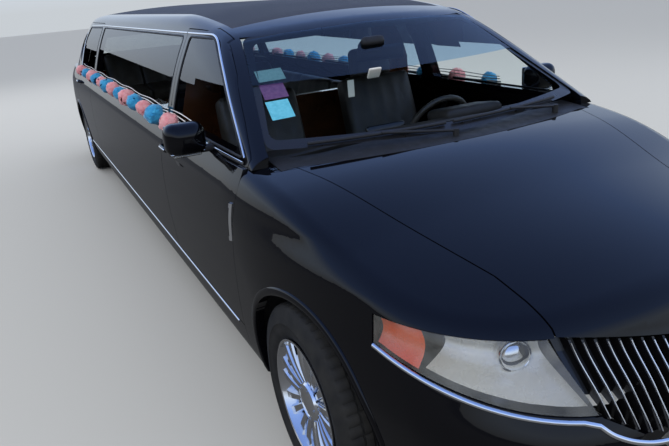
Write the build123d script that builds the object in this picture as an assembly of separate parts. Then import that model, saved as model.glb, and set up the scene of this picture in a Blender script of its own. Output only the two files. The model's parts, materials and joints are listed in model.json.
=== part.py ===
"""Stretch limousine: a luxury crossover, cut behind its front doors and lengthened by 120 inches.

Frame: +Z up, the nose towards -Y, the driver's side at +X. The origin is on the ground, in the middle of the length
and width. Inside the script a place along the car is its station: the distance behind the nose, in millimetres.
The body is a stack of plan outlines trimmed by a crowned deck and a crowned roof. Each panel is cut from the wall
between that shape and the same shape drawn inwards, along the real shut lines.
"""

import os
from math import cos, radians, sin, sqrt

from build123d import *

# Driving dimensions, millimetres
DONOR_LENGTH = 5273
STRETCH = 3048
LENGTH = DONOR_LENGTH + STRETCH
NOSE_Y = -LENGTH / 2
DONOR_WHEELBASE = 2995
FRONT_AXLE = 985
REAR_AXLE = FRONT_AXLE + DONOR_WHEELBASE + STRETCH
TYRE_RADIUS = 370
TYRE_WIDTH = 235
RIM_RADIUS = 243
WHEEL_PLANE = 822
KINGPIN = 750
ARCH_RADIUS = 408

# Wall thicknesses and gaps
DOOR_WALL = 110
FENDER_WALL = 36
TAIL_WALL = 60
PILLAR_WALL = 45
HOOD_WALL = 28
GLASS = 6
GLASS_SUNK = 4
GAP = 5
GATE_LAMP_HALF = 690
CUT_SPARE = 140
BODY_HALF = 963

# Heights
FIREWALL = 1438
UNDERSIDE = 190
SILL = 432
FLOOR = 430
FLOOR_THICK = 40
AXLE_STEP = 110
RAIL_HEIGHT = 100
RAIL_IN = 380
RAIL_OUT = 460
BELT = 1140
WINDOW_LOW = 1168
WIPER_HEIGHT = 1206
WIPER_RADIUS = 7
WIPER_AHEAD = 15
WINDOW_TOP = 1580
DOOR_TOP = 1616
ROOF_HALF = 600
ROOF_FRONT = 2260
ROOF_LOW = 1380
HOOD_LIP = 782
SLAT_PITCH = 30
SLAT_WIDTH = 7
SLAT_SUNK = 8
SLAT_DEPTH = 44
# Sideways lean of the outermost slat, per unit of height
SLAT_FAN = 0.17
LAMP_LOW = 668

# Stations of the shut lines
DOOR_CUT_TOP = 1440
DOOR_CUT_LOW = 1560
B_CUT = 2700
C_CUT = B_CUT + STRETCH
REAR_DOOR_END = 6830
GATE_TOP = LENGTH - 640
HOOD_REAR = 1190
HOOD_REAR_CORNER = 1330
HOOD_HALF_REAR = 720
HOOD_CORNER_LOW = 1118
HOOD_HALF_MIDDLE = 494
HOOD_MIDDLE = 467
HOOD_HALF_FRONT = 484
HOOD_FRONT_STATION = 347

# Plan outlines of the body below the glass: height, half width, nose station, tail set-in
BODY_LEVELS = [
    (UNDERSIDE, 868, 75, 110),
    (330, 925, 28, 40),
    (560, 953, 0, 0),
    (700, 961, 62, 6),
    (800, BODY_HALF, 132, 26),
    (905, 960, 182, 58),
    (1010, 950, 318, 88),
    (BELT, 899, 330, 132),
]
SHOULDER_LEVEL = (1240, 850, 345, 150)
# Nose and tail in plan: side radius, side turn, corner radius, corner turn (degrees)
NOSE_CURVE = (3000, 17, 560, 56)
TAIL_CURVE = (5000, 9, 330, 63)

# Plan outlines of the glasshouse: height, half width, windscreen station, backlight set-in
GLASS_LEVELS = [
    (BELT, 886, 1187, 140),
    (1400, 797, 1655, 420),
    (1760, 616, 2320, 900),
]
SCREEN_CURVE = (9000, 3, 92, 67)
BACKLIGHT_CURVE = (4500, 12, 240, 50)

# Crowned surface over the bonnet: station, height on the centre line, crown radius
DECK_STATIONS = [
    (60, 850, 2500),
    (182, 905, 2600),
    (760, 1056, 4400),
    (1190, 1150, 8500),
    (1750, 1200, 14000),
]
# Crowned surface of the roof: station, height on the centre line, crown radius
ROOF_STATIONS = [
    (1400, 1330, 4600),
    (2020, 1600, 4600),
    (2380, 1668, 5400),
    (3000, 1712, 6400),
    (LENGTH - 2500, 1716, 6400),
    (LENGTH - 1300, 1682, 5400),
    (LENGTH - 500, 1596, 4200),
    (LENGTH + 60, 1490, 3600),
]

NOSE_BACK = B_CUT + 60
TAIL_FRONT = REAR_DOOR_END - 600

os.makedirs("parts", exist_ok=True)


def save(node, shape):
    """Writes one node."""
    solids = [s for s in shape.solids() if s.volume > 500]
    whole = solids[0] if len(solids) == 1 else Compound(children=solids)
    whole.label = node
    export_step(whole, f"parts/{node}.step")


# Master shapes
def end_curve(half_width, tip, way, curve, inset):
    """Half a nose or tail in plan, from the side to the tip. way is 1 for a nose and -1 for a tail."""
    side_radius, side_turn, corner_radius, corner_turn = curve
    r_side = side_radius - inset
    r_corner = corner_radius - inset
    a_side = radians(side_turn)
    a_both = radians(side_turn + corner_turn)
    a_side_mid = a_side / 2
    a_corner_mid = (a_side + a_both) / 2
    width = half_width - inset
    x_corner = width - r_side * (1 - cos(a_side))
    x_front = x_corner - r_corner * (cos(a_side) - cos(a_both))
    r_front = x_front / cos(a_both)
    depth_front = r_front * (1 - sin(a_both))
    depth_corner = depth_front + r_corner * (sin(a_both) - sin(a_side))
    depth_side = depth_corner + r_side * sin(a_side)

    def at(x, depth):
        return (x, NOSE_Y + tip + way * (depth + inset))

    return [
        at(width, depth_side),
        at(width - r_side * (1 - cos(a_side_mid)), depth_side - r_side * sin(a_side_mid)),
        at(x_corner, depth_corner),
        at(
            x_corner - r_corner * (cos(a_side) - cos(a_corner_mid)),
            depth_front + r_corner * (sin(a_both) - sin(a_corner_mid)),
        ),
        at(x_front, depth_front),
        at(0, 0),
    ]


def end_edges(points, z):
    """Edges round a nose or tail, from the left side over the tip to the right side."""

    def right(p):
        return Vector(p[0], p[1], z)

    def left(p):
        return Vector(-p[0], p[1], z)

    arc = Edge.make_three_point_arc
    return [
        arc(left(points[0]), left(points[1]), left(points[2])),
        arc(left(points[2]), left(points[3]), left(points[4])),
        arc(left(points[4]), right(points[5]), right(points[4])),
        arc(right(points[4]), right(points[3]), right(points[2])),
        arc(right(points[2]), right(points[1]), right(points[0])),
    ]


def spare(inset):
    """An inner shape reaches this much further past its open ends than the outer one."""
    return 40 if inset else 0


def closed_at(edges, points, station, z):
    """Closes the edges of one end with straight sides and a straight end at a station."""
    x, y_start = points[0]
    y_end = NOSE_Y + station
    corners = [Vector(x, y_start, z), Vector(x, y_end, z), Vector(-x, y_end, z), Vector(-x, y_start, z)]
    return Wire(edges + [Edge.make_line(a, b) for a, b in zip(corners, corners[1:])])


def nose_stack(inset):
    """Front end of the body, drawn inwards by inset."""
    wires = []
    for z, half_width, nose, tail in BODY_LEVELS + [SHOULDER_LEVEL]:
        z_used = z - spare(inset) if z == UNDERSIDE else z
        points = end_curve(half_width, nose, 1, NOSE_CURVE, inset)
        wires.append(closed_at(end_edges(points, z_used), points, NOSE_BACK + spare(inset), z_used))
    return Solid.make_loft(wires, ruled=True)


def tail_stack(inset):
    """Rear end of the body, drawn inwards by inset."""
    wires = []
    for z, half_width, nose, tail in BODY_LEVELS + [SHOULDER_LEVEL]:
        z_used = z - spare(inset) if z == UNDERSIDE else z
        points = end_curve(half_width, LENGTH - tail, -1, TAIL_CURVE, inset)
        wires.append(closed_at(end_edges(points, z_used), points, TAIL_FRONT - spare(inset), z_used))
    return Solid.make_loft(wires, ruled=True)


def mid_stack(inset):
    """Middle of the body, where the section stays the same."""
    wires = []
    y_front = NOSE_Y + NOSE_BACK - 300 - spare(inset)
    y_back = NOSE_Y + TAIL_FRONT + 400 + spare(inset)
    for z_level, half_width, nose, tail in BODY_LEVELS + [SHOULDER_LEVEL]:
        x = half_width - inset
        z = z_level - spare(inset) if z_level == UNDERSIDE else z_level
        corners = [(x, y_front, z), (x, y_back, z), (-x, y_back, z), (-x, y_front, z)]
        wires.append(Wire.make_polygon([Vector(*c) for c in corners], close=True))
    return Solid.make_loft(wires, ruled=True)


def glasshouse(inset):
    """Windows, pillars and roof as one shape above the belt, drawn inwards by inset."""
    wires = []
    for z_level, half_width, screen, backlight in GLASS_LEVELS:
        z = z_level - spare(inset) if z_level == BELT else z_level
        front = end_curve(half_width, screen, 1, SCREEN_CURVE, inset)
        rear = end_curve(half_width, LENGTH - backlight, -1, BACKLIGHT_CURVE, inset)
        front_edges = end_edges(front, z)
        rear_edges = [e for e in end_edges(rear, z)]
        x = half_width - inset
        sides = [
            Edge.make_line(Vector(x, front[0][1], z), Vector(x, rear[0][1], z)),
            Edge.make_line(Vector(-x, rear[0][1], z), Vector(-x, front[0][1], z)),
        ]
        wires.append(Wire(front_edges + [sides[0]] + rear_edges[::-1] + [sides[1]]))
    return Solid.make_loft(wires, ruled=True) & crowned(ROOF_STATIONS, inset, 1000)


def crowned(stations, inset, base):
    """A solid whose top is a crowned surface through the stations."""
    wide = LENGTH / 8
    wires = []
    for station, z, radius in stations:
        y = NOSE_Y + station
        top = z - inset
        edge = top - (radius - sqrt(radius**2 - wide**2))
        low_left, low_right = Vector(-wide, y, base), Vector(wide, y, base)
        left, right = Vector(-wide, y, edge), Vector(wide, y, edge)
        crown = Edge.make_three_point_arc(right, Vector(0, y, top), left)
        wires.append(
            Wire([Edge.make_line(low_left, low_right), Edge.make_line(low_right, right), crown, Edge.make_line(left, low_left)])
        )
    return Solid.make_loft(wires, ruled=True)


# Small builders
def box(x0, x1, s0, s1, z0, z1):
    """A block between two places across, two stations and two heights."""
    return Pos((x0 + x1) / 2, NOSE_Y + (s0 + s1) / 2, (z0 + z1) / 2) * Box(x1 - x0, s1 - s0, z1 - z0)


def outline(points, radius, grow):
    """Closed face through (a, b) points, with rounded corners, made larger by grow."""
    face = make_face(Polyline(*points, close=True))
    if radius:
        face = fillet(face.vertices(), radius)
    if grow:
        face = offset(face, grow, kind=Kind.INTERSECTION)
    return face


def prism_x(points, x0, x1, radius=0, grow=0):
    """Side-view outline of (station, height) points, pushed from x0 to x1."""
    return Pos(x0, NOSE_Y, 0) * extrude(Plane.YZ * outline(points, radius, grow), amount=x1 - x0, dir=(1, 0, 0))


def prism_y(points, y0, y1, radius=0, grow=0):
    """Front-view outline of (x, height) points, pushed from station y0 to y1."""
    return Pos(0, NOSE_Y + y0, 0) * extrude(Plane.XZ * outline(points, radius, grow), amount=y1 - y0, dir=(0, 1, 0))


def prism_z(points, z0, z1, radius=0, grow=0):
    """Plan outline of (x, station) points, pushed from z0 to z1."""
    return Pos(0, NOSE_Y, z0) * extrude(outline(points, radius, grow), amount=z1 - z0, dir=(0, 0, 1))


def mirrored(points):
    """Closes the right half of an outline by its mirror image."""
    return points + [(-x, v) for x, v in reversed(points) if x != 0]


def pair(shape):
    """A piece of the left side together with its mirror image on the right."""
    return Compound(children=[*shape.solids(), *mirror(shape, Plane.YZ).solids()])


def rod(start, end, radius):
    """A round bar between two points, each (x, station, height)."""
    a = Vector(start[0], NOSE_Y + start[1], start[2])
    b = Vector(end[0], NOSE_Y + end[1], end[2])
    return Solid.make_cylinder(radius, (b - a).length, Plane(origin=a, z_dir=b - a))


def drum(axle, x0, x1, radius):
    """A cylinder across the car, round one axle."""
    return rod((x0, axle, TYRE_RADIUS), (x1, axle, TYRE_RADIUS), radius)


# Stations of the frame's cross members
CROSS_MEMBERS = (260, 1560, 2620, 3640, 4660, 5680, 6420)

# Wheel: split spokes, and half of one in its own plane: (sideways, distance from the axle)
SPOKES = 9
SPOKE_BACK = 46
SPOKE_THICK = 26
SPOKE_BLADE = [(5, 60), (19, 60), (38, RIM_RADIUS - 18), (18, RIM_RADIUS - 18)]

# Outlines in side view: (station, height)
FRONT_DOOR = [
    (DOOR_CUT_LOW, SILL),
    (DOOR_CUT_TOP, 1040),
    (DOOR_CUT_TOP, 1172),
    (1462, 1188),
    (1607, 1280),
    (1871, 1440),
    (2054, 1542),
    (2200, DOOR_TOP),
    (B_CUT, DOOR_TOP),
    (B_CUT, SILL),
]
FRONT_WINDOW = [
    (1510, WINDOW_LOW),
    (1670, 1266),
    (1931, 1424),
    (2225, WINDOW_TOP),
    (2640, WINDOW_TOP),
    (2640, WINDOW_LOW),
]
STRETCH_WINDOW = [
    (2760, WINDOW_LOW),
    (2760, WINDOW_TOP),
    (C_CUT - 60, WINDOW_TOP),
    (C_CUT - 60, WINDOW_LOW),
]
REAR_DOOR = [
    (C_CUT, SILL),
    (C_CUT, DOOR_TOP),
    (6700, DOOR_TOP),
    (REAR_DOOR_END, 1480),
    (REAR_DOOR_END, 860),
    (6560, 620),
    (6500, SILL),
]
REAR_WINDOW = [
    (C_CUT + 60, WINDOW_LOW),
    (C_CUT + 60, WINDOW_TOP),
    (6640, WINDOW_TOP - 10),
    (6765, 1470),
    (6765, 1190),
    (6600, WINDOW_LOW),
]
QUARTER_WINDOW = [
    (6885, 1230),
    (6885, 1500),
    (7050, 1470),
    (7290, 1370),
]
# Wipers: spindle, inner end and outer end of the blade across the car
WIPERS = [(560, 600, -20), (-40, -60, -640)]
SIDE_OUT = BODY_HALF + CUT_SPARE
SIDE_IN = 640
LAMP_SIDE = [(20, 643), (117, LAMP_LOW), (591, 787), (600, 874), (234, 852), (20, 842)]
LAMP_FRONT = [(443, 560), (443, LAMP_LOW), (503, 852), (503, 920), (1000, 920), (1000, 560)]
BUMPER_SIDE = [
    (-80, 150),
    (600, 150),
    (570, 300),
    (568, 420),
    (596, 530),
    (638, 614),
    (591, 787),
    (117, LAMP_LOW),
    (-80, 613),
]
BUMPER_FRONT = [(0, 0), (1000, 0), (1000, 800), (443, 800), (443, LAMP_LOW), (0, LAMP_LOW)]
GRILLE_WING = [(30, 575), (30, 780), (478, 848), (440, 664), (330, 600)]
INTAKE = [(0, 300), (420, 308), (455, 430), (0, 440)]
HOOD_FRONT = [(0, HOOD_LIP), (40, HOOD_LIP), (484, 854), (1000, 854), (1000, 1300), (0, 1300)]
SCREEN_LOW = 1172
# Bucket seat: side-view profile, share of the seat's width, corner radius
SEAT_PROFILES = (
    ([(-170, FLOOR), (-150, 640), (230, 640), (250, FLOOR)], 0.62, 0),
    ([(-270, 630), (-280, 760), (-240, 800), (200, 765), (240, 640)], 1.0, 28),
    ([(160, 690), (330, 1200), (372, 1225), (440, 1190), (360, 660)], 0.94, 24),
    ([(352, 1180), (372, 1390), (452, 1390), (440, 1180)], 0.5, 22),
)
# Bucket seats: place across, station, width
SEAT_PLACE = (385, 2290, 520)
DASH = [(1464, 800), (1464, 1105), (1700, 1128), (1850, 1085), (1880, 970), (1800, 800)]
CONSOLE = [(1770, FLOOR), (1770, 900), (1850, 880), (2000, 720), (2560, 700), (2580, FLOOR)]
CONSOLE_HALF = 115
PARTITION = 2880
PARTITION_THICK = 40
PARTITION_HALF = 780
# Half width, low edge and high edge of the window in the partition
PARTITION_WINDOW = (520, 1150, 1520)
PARTITION_GAP = 3
# Lounge: bench section across (x, height), its ends, the rear bench behind the rear axle, the bar and its wells
SIDE_BENCH = [(340, FLOOR), (320, 700), (330, 815), (600, 790), (668, 1060), (740, 1080), (770, 1040), (770, FLOOR)]
BENCH_FRONT, BENCH_REAR = 3250, 5650
REAR_BENCH = [(-400, 540), (-420, 840), (-390, 885), (20, 850), (150, 1230), (235, 1250), (270, 1200), (190, 540)]
BAR = (3250, 5350)
BAR_WELLS = (3450, 4250, 4850)
# Steering wheel: place across, station, height, tilt in degrees
STEERING_WHEEL = (390, 1990, 1010, 65)

# Chassis parts as boxes: left and right edge, front and rear station, low and high edge
FLOOR_HALF = 790
ENGINE = (-300, 300, 600, 1180, 430, 930)
TANK = (120, 360, 6000, 6400, 250, 385)
SILENCER = (-360, -140, LENGTH - 760, LENGTH - 420, 240, 360)
PIPE_START = 1300
PIPE_HEIGHT = 250
PIPE_RADIUS = 27
# Place across and height of the tailpipe
TAILPIPE = (-250, 290)
TAILPIPE_RADIUS = 34
TAILPIPE_ROOM = 14

# Stations between which the openings seen from ahead or behind are cut
SCREEN_CUT = (1100, 2300)
GATE_CUT = (LENGTH - 900, LENGTH + 200)
LAMP_CUT = (LENGTH - 500, LENGTH + 200)
TAIL_LAMP_START = LENGTH - 330
SCREEN_OPENING = [(0, 1100), (812, 1100), (796, 1196), (618, 1578), (0, 1597)]
SCREEN_FRONT = [(0, SCREEN_LOW), (794, 1196), (616, 1576), (0, 1595)]
GATE_REAR = [(0, 640), (640, 640), (735, 860), (735, 1010), (680, BELT), (545, 1560), (0, 1700)]
GATE_WINDOW = [(0, 1190), (590, 1190), (492, 1446), (0, 1484)]
TAIL_BUMPER = [(LENGTH - 520, 150), (LENGTH - 480, 640), (LENGTH + 80, 640), (LENGTH + 80, 150)]
LAMP_BAR = [(0, 880), (900, 905), (900, 1000), (0, 975)]


def side_cut(points, grow=0, radius=0, inner=SIDE_IN):
    return prism_x(points, inner - grow, SIDE_OUT, radius, grow)


def both(shape):
    return shape + mirror(shape, Plane.YZ)


def left_half():
    return box(0, SIDE_OUT, -200, LENGTH + 200, 0, 2000)


# Body panels
def lower_walls():
    """Walls below the belt: the thin front, and thick nose, middle and tail, joined at plain sections."""
    deck = crowned(DECK_STATIONS, 0, 0)
    deck_in = crowned(DECK_STATIONS, HOOD_WALL, 0)
    nose = nose_stack(0)
    front = (nose & deck) - (nose_stack(FENDER_WALL) & deck_in)
    front = front & box(-SIDE_OUT, SIDE_OUT, -200, NOSE_BACK - 1000, 0, 2000)
    door = (nose - nose_stack(DOOR_WALL)) & box(0, SIDE_OUT, DOOR_CUT_TOP - 60, B_CUT + 20, 0, BELT)
    below_belt = box(0, SIDE_OUT, 0, LENGTH + 200, 0, BELT)
    middle = (mid_stack(0) - mid_stack(DOOR_WALL)) & below_belt
    tail = (tail_stack(0) - tail_stack(TAIL_WALL)) & below_belt
    return front, door, middle, tail


def hood_plan(grow):
    """The bonnet's outline in plan, whose rear edge is an arc along the windscreen."""
    front, rear = -80, HOOD_REAR_CORNER + grow
    edges = []
    for side in (1, -1):
        corners = [
            (side * (HOOD_HALF_REAR + grow), rear),
            (side * (HOOD_HALF_MIDDLE + grow), HOOD_MIDDLE),
            (side * (HOOD_HALF_FRONT + grow), HOOD_FRONT_STATION),
            (side * (HOOD_HALF_FRONT + grow), front),
        ]
        edges += [Line(a, b) for a, b in zip(corners, corners[1:])]
    edges.append(Line((HOOD_HALF_FRONT + grow, front), (-HOOD_HALF_FRONT - grow, front)))
    half = HOOD_HALF_REAR + grow
    edges.append(ThreePointArc((half, rear), (0, HOOD_REAR + grow), (-half, rear)))
    return Pos(0, NOSE_Y, 700) * extrude(make_face(edges), amount=700, dir=(0, 0, 1))


def hood_plan_behind(grow):
    """Everything behind the bonnet's rear edge, between its corners."""
    half = HOOD_HALF_REAR + 60
    slope = HOOD_REAR_CORNER
    edges = [
        ThreePointArc((HOOD_HALF_REAR, slope - grow), (0, HOOD_REAR - grow), (-HOOD_HALF_REAR, slope - grow)),
        Line((-HOOD_HALF_REAR, slope - grow), (-half - grow, slope - grow)),
        Line((-half - grow, slope - grow), (-half - grow, 1500)),
        Line((-half - grow, 1500), (half + grow, 1500)),
        Line((half + grow, 1500), (half + grow, slope - grow)),
        Line((half + grow, slope - grow), (HOOD_HALF_REAR, slope - grow)),
    ]
    return Pos(0, NOSE_Y, 900) * extrude(make_face(edges), amount=500, dir=(0, 0, 1))


def make_front(front, door_cut):
    """Bonnet, wings, front bumper, headlamps, grille and scuttle."""
    hood_zone = hood_plan(-GAP / 2) & prism_y(mirrored(HOOD_FRONT), -200, 1500, grow=-GAP / 2)
    thinned = both(box(HOOD_HALF_REAR - 50, HOOD_HALF_REAR + 10, HOOD_REAR_CORNER - 68, HOOD_REAR_CORNER + 10, 0, HOOD_CORNER_LOW))
    save("hood", (front & hood_zone) - thinned)

    lamp_zone = prism_x(LAMP_SIDE, 300, SIDE_OUT) & prism_y(LAMP_FRONT, -200, 800)
    bumper_zone = prism_x(BUMPER_SIDE, 0, SIDE_OUT) & prism_y(BUMPER_FRONT, -200, 1000)
    grille_zone = prism_y(GRILLE_WING, -200, 400, radius=12)
    arch = drum(FRONT_AXLE, 0, SIDE_OUT, ARCH_RADIUS)

    bumper = (front & bumper_zone) - grille_zone - box(-30, 30, -100, 400, 560, 700)
    bumper = bumper - prism_y(mirrored(INTAKE), -200, 300)
    save("front_bumper", both(bumper))

    wing_zone = box(HOOD_HALF_FRONT, SIDE_OUT, 200, DOOR_CUT_LOW + 60, 150, BELT - 1)
    behind_door = prism_x([(DOOR_CUT_LOW, 100), *FRONT_DOOR[:3], (DOOR_CUT_TOP, 1300), (2400, 1300), (2400, 100)], 0, SIDE_OUT)
    wing = (front & wing_zone) - hood_plan(GAP / 2) - hood_plan_behind(GAP / 2) - behind_door
    wing = wing - prism_x(LAMP_SIDE, 300, SIDE_OUT, grow=1) - bumper_zone - arch
    save("front_wings", pair(wing))

    nose = nose_stack(3)
    lamp = (nose - nose_stack(DOOR_WALL)) & crowned(DECK_STATIONS, 3, 0) & left_half()
    lamp = lamp & prism_x(LAMP_SIDE, 300, SIDE_OUT, grow=-2) & prism_y(LAMP_FRONT, -200, 800, grow=-2)
    save("headlamps", pair(lamp))

    make_grille()

    cowl = (crowned(DECK_STATIONS, 4, 0) - crowned(DECK_STATIONS, HOOD_WALL, 0)) & hood_plan_behind(-GAP / 2)
    cowl = cowl - glasshouse(0)
    firewall = box(-700, 700, FIREWALL, FIREWALL + 26, FLOOR, 1145)
    save("scuttle", cowl + firewall)


def make_grille():
    """Two wings of upright slats, fanned towards the lamps, before a dark back plate, joined by a centre bar."""
    wing = (prism_y(GRILLE_WING, -200, 400, grow=-1) & nose_stack(SLAT_DEPTH)) - nose_stack(SLAT_DEPTH + 12)
    first, last = GRILLE_WING[0][0], GRILLE_WING[3][0]
    count = int((last - first) / SLAT_PITCH)
    low, high = GRILLE_WING[0][1], GRILLE_WING[2][1]
    slats = []
    for i in range(count + 1):
        x = first + SLAT_PITCH * (i + 0.5)
        lean = SLAT_FAN * i / count * (high - low)
        slats.append(
            prism_y(
                [
                    (x - SLAT_WIDTH / 2, low),
                    (x + SLAT_WIDTH / 2, low),
                    (x + lean + SLAT_WIDTH / 2, high),
                    (x + lean - SLAT_WIDTH / 2, high),
                ],
                -200,
                400,
            )
        )
    fan = Compound(children=slats) & prism_y(GRILLE_WING, -200, 400, grow=-2)
    fan = (fan & nose_stack(SLAT_SUNK)) - nose_stack(SLAT_DEPTH + 2)
    wing = wing.fuse(*fan.solids())
    middle = (box(-28, 28, -100, 300, 562, HOOD_LIP - 6) & nose_stack(2)) - nose_stack(SLAT_DEPTH + 12)
    save("grille", Compound(children=[*pair(wing).solids(), *middle.solids()]))


def make_sides(door, middle, tail, upper):
    """Body sides, doors and their glass, as left pieces and their mirror images."""
    rear_arch = drum(REAR_AXLE, 0, SIDE_OUT, ARCH_RADIUS)
    upper_left = (upper & left_half()) - prism_y(mirrored(SCREEN_OPENING), *SCREEN_CUT, grow=GAP)

    front_zone = side_cut(FRONT_DOOR, -GAP / 2)
    front_door = (door & front_zone) + (upper_left & front_zone)
    front_door = front_door - side_cut(FRONT_WINDOW, radius=30)
    rear_low = (middle & box(0, SIDE_OUT, 0, TAIL_FRONT + 200, 0, 2000)) + (
        tail & box(0, SIDE_OUT, TAIL_FRONT + 200, LENGTH, 0, 2000)
    )
    rear_zone = side_cut(REAR_DOOR, -GAP / 2)
    rear_door = (rear_low & rear_zone) + (upper_left & rear_zone)
    rear_door = rear_door - side_cut(REAR_WINDOW, radius=30) - drum(REAR_AXLE, 0, SIDE_OUT, ARCH_RADIUS + 70)

    rocker = door & prism_x(
        [(DOOR_CUT_LOW + GAP / 2, 100), (DOOR_CUT_LOW + GAP / 2, SILL - GAP / 2), (B_CUT, SILL - GAP / 2), (B_CUT, 100)],
        0,
        SIDE_OUT,
    )
    wall = middle & box(0, SIDE_OUT, B_CUT, TAIL_FRONT + 200, 0, 2000)
    quarter = tail & box(0, SIDE_OUT, TAIL_FRONT + 200, LENGTH + 200, 0, 2000)
    side = rocker + wall + quarter
    gap_wall = box(0, SIDE_OUT, B_CUT - 1, B_CUT + GAP / 2, SILL - GAP / 2, 2000)
    side = side - gap_wall - side_cut(REAR_DOOR, GAP / 2, inner=0) - rear_arch
    side = side - prism_y(mirrored(GATE_REAR), *GATE_CUT, grow=GAP / 2)
    side = side - prism_x(TAIL_BUMPER, 0, SIDE_OUT, grow=GAP / 2)
    lamp_cut = prism_y(LAMP_BAR, TAIL_LAMP_START, LENGTH + 200)
    tail_lamp = side & prism_y(LAMP_BAR, TAIL_LAMP_START + 1, LENGTH + 200, grow=-1)
    side = side - lamp_cut

    for suffix, flip in (("left", False), ("right", True)):

        def place(shape):
            return mirror(shape, Plane.YZ) if flip else shape

        save(f"body_side_{suffix}", place(side))
        save(f"front_door_{suffix}", place(front_door))
        save(f"rear_door_{suffix}", place(rear_door))
        save(f"mirror_{suffix}", place(wing_mirror()))
    save("tail_lamps", pair(tail_lamp))


def wing_mirror():
    """Mirror housing on a short arm at the front of the door's window sill."""
    body = Pos(995, NOSE_Y + 1880, 1205) * Box(170, 110, 125)
    body = fillet(body.edges(), 28)
    arm = box(886.5, 960, 1850, 1910, BELT, 1166)
    return body + arm


def make_glass(upper_glass):
    """Side glass, fixed and in the doors, sunk in the glasshouse wall."""
    for suffix, flip in (("left", False), ("right", True)):
        for node, points in (("front_glass", FRONT_WINDOW), ("rear_glass", REAR_WINDOW)):
            pane = upper_glass & side_cut(points, grow=-0.5, radius=30)
            save(f"{node}_{suffix}", mirror(pane, Plane.YZ) if flip else pane)
    stretch = upper_glass & side_cut(STRETCH_WINDOW, grow=-0.5, radius=30)
    quarter = upper_glass & side_cut(QUARTER_WINDOW, grow=-0.5, radius=15)
    save("fixed_side_glass", pair(stretch + quarter))
    screen = upper_glass & prism_y(mirrored(SCREEN_FRONT), *SCREEN_CUT, grow=-0.5)
    save("windscreen", screen)


def make_rear(tail, upper, upper_glass):
    """Liftgate with its glass and lamp, and the rear bumper."""
    whole_tail = both(tail)
    gate_zone = prism_y(mirrored(GATE_REAR), *GATE_CUT, grow=-GAP / 2)
    gate_zone = gate_zone & box(-900, 900, GATE_TOP + GAP / 2, LENGTH + 200, 0, 2000)
    gate = (whole_tail & gate_zone) + (upper & gate_zone)
    window = prism_y(mirrored(GATE_WINDOW), *GATE_CUT)
    lamp_side = box(-GATE_LAMP_HALF, GATE_LAMP_HALF, *LAMP_CUT, 0, 2000)
    lamp_zone = prism_y(mirrored(LAMP_BAR), *LAMP_CUT) & lamp_side
    lamp = gate & prism_y(mirrored(LAMP_BAR), *LAMP_CUT, grow=-1)
    lamp = lamp & box(-GATE_LAMP_HALF + 1, GATE_LAMP_HALF - 1, *LAMP_CUT, 0, 2000)
    save("liftgate", gate - window - lamp_zone)
    save("liftgate_lamp", lamp)
    save("liftgate_glass", upper_glass & prism_y(mirrored(GATE_WINDOW), *GATE_CUT, grow=-0.5))
    bumper = whole_tail & prism_x(TAIL_BUMPER, -SIDE_OUT, SIDE_OUT, grow=-GAP / 2)
    bumper = bumper - drum(REAR_AXLE, -SIDE_OUT, SIDE_OUT, ARCH_RADIUS)
    x, z = TAILPIPE
    outlet = rod((x, LENGTH - 300, z), (x, LENGTH + 200, z), TAILPIPE_RADIUS + TAILPIPE_ROOM)
    save("rear_bumper", bumper - outlet)


def make_roof(upper):
    """Roof panel, windscreen header, and the side frames with their pillars, from the windscreen to the liftgate."""
    cuts = side_cut(FRONT_DOOR, GAP / 2) + side_cut(REAR_DOOR, GAP / 2)
    cuts = cuts + side_cut(STRETCH_WINDOW, radius=30) + side_cut(QUARTER_WINDOW, radius=15)
    gate = prism_y(mirrored(GATE_REAR), *GATE_CUT, grow=GAP / 2)
    shell = upper - prism_y(mirrored(SCREEN_OPENING), *SCREEN_CUT)
    shell = shell - (gate & box(-900, 900, GATE_TOP - GAP / 2, LENGTH + 200, 0, 2000))
    save("roof", shell & box(-ROOF_HALF, ROOF_HALF, ROOF_FRONT, LENGTH, ROOF_LOW, 2000))
    save("roof_header", shell & box(-ROOF_HALF, ROOF_HALF, 1900, ROOF_FRONT, ROOF_LOW, 2000))
    frame = (shell & left_half()) - cuts - box(-ROOF_HALF, ROOF_HALF, 1900, LENGTH, ROOF_LOW, 2000)
    save("side_frame_left", frame)
    save("side_frame_right", mirror(frame, Plane.YZ))


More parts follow.
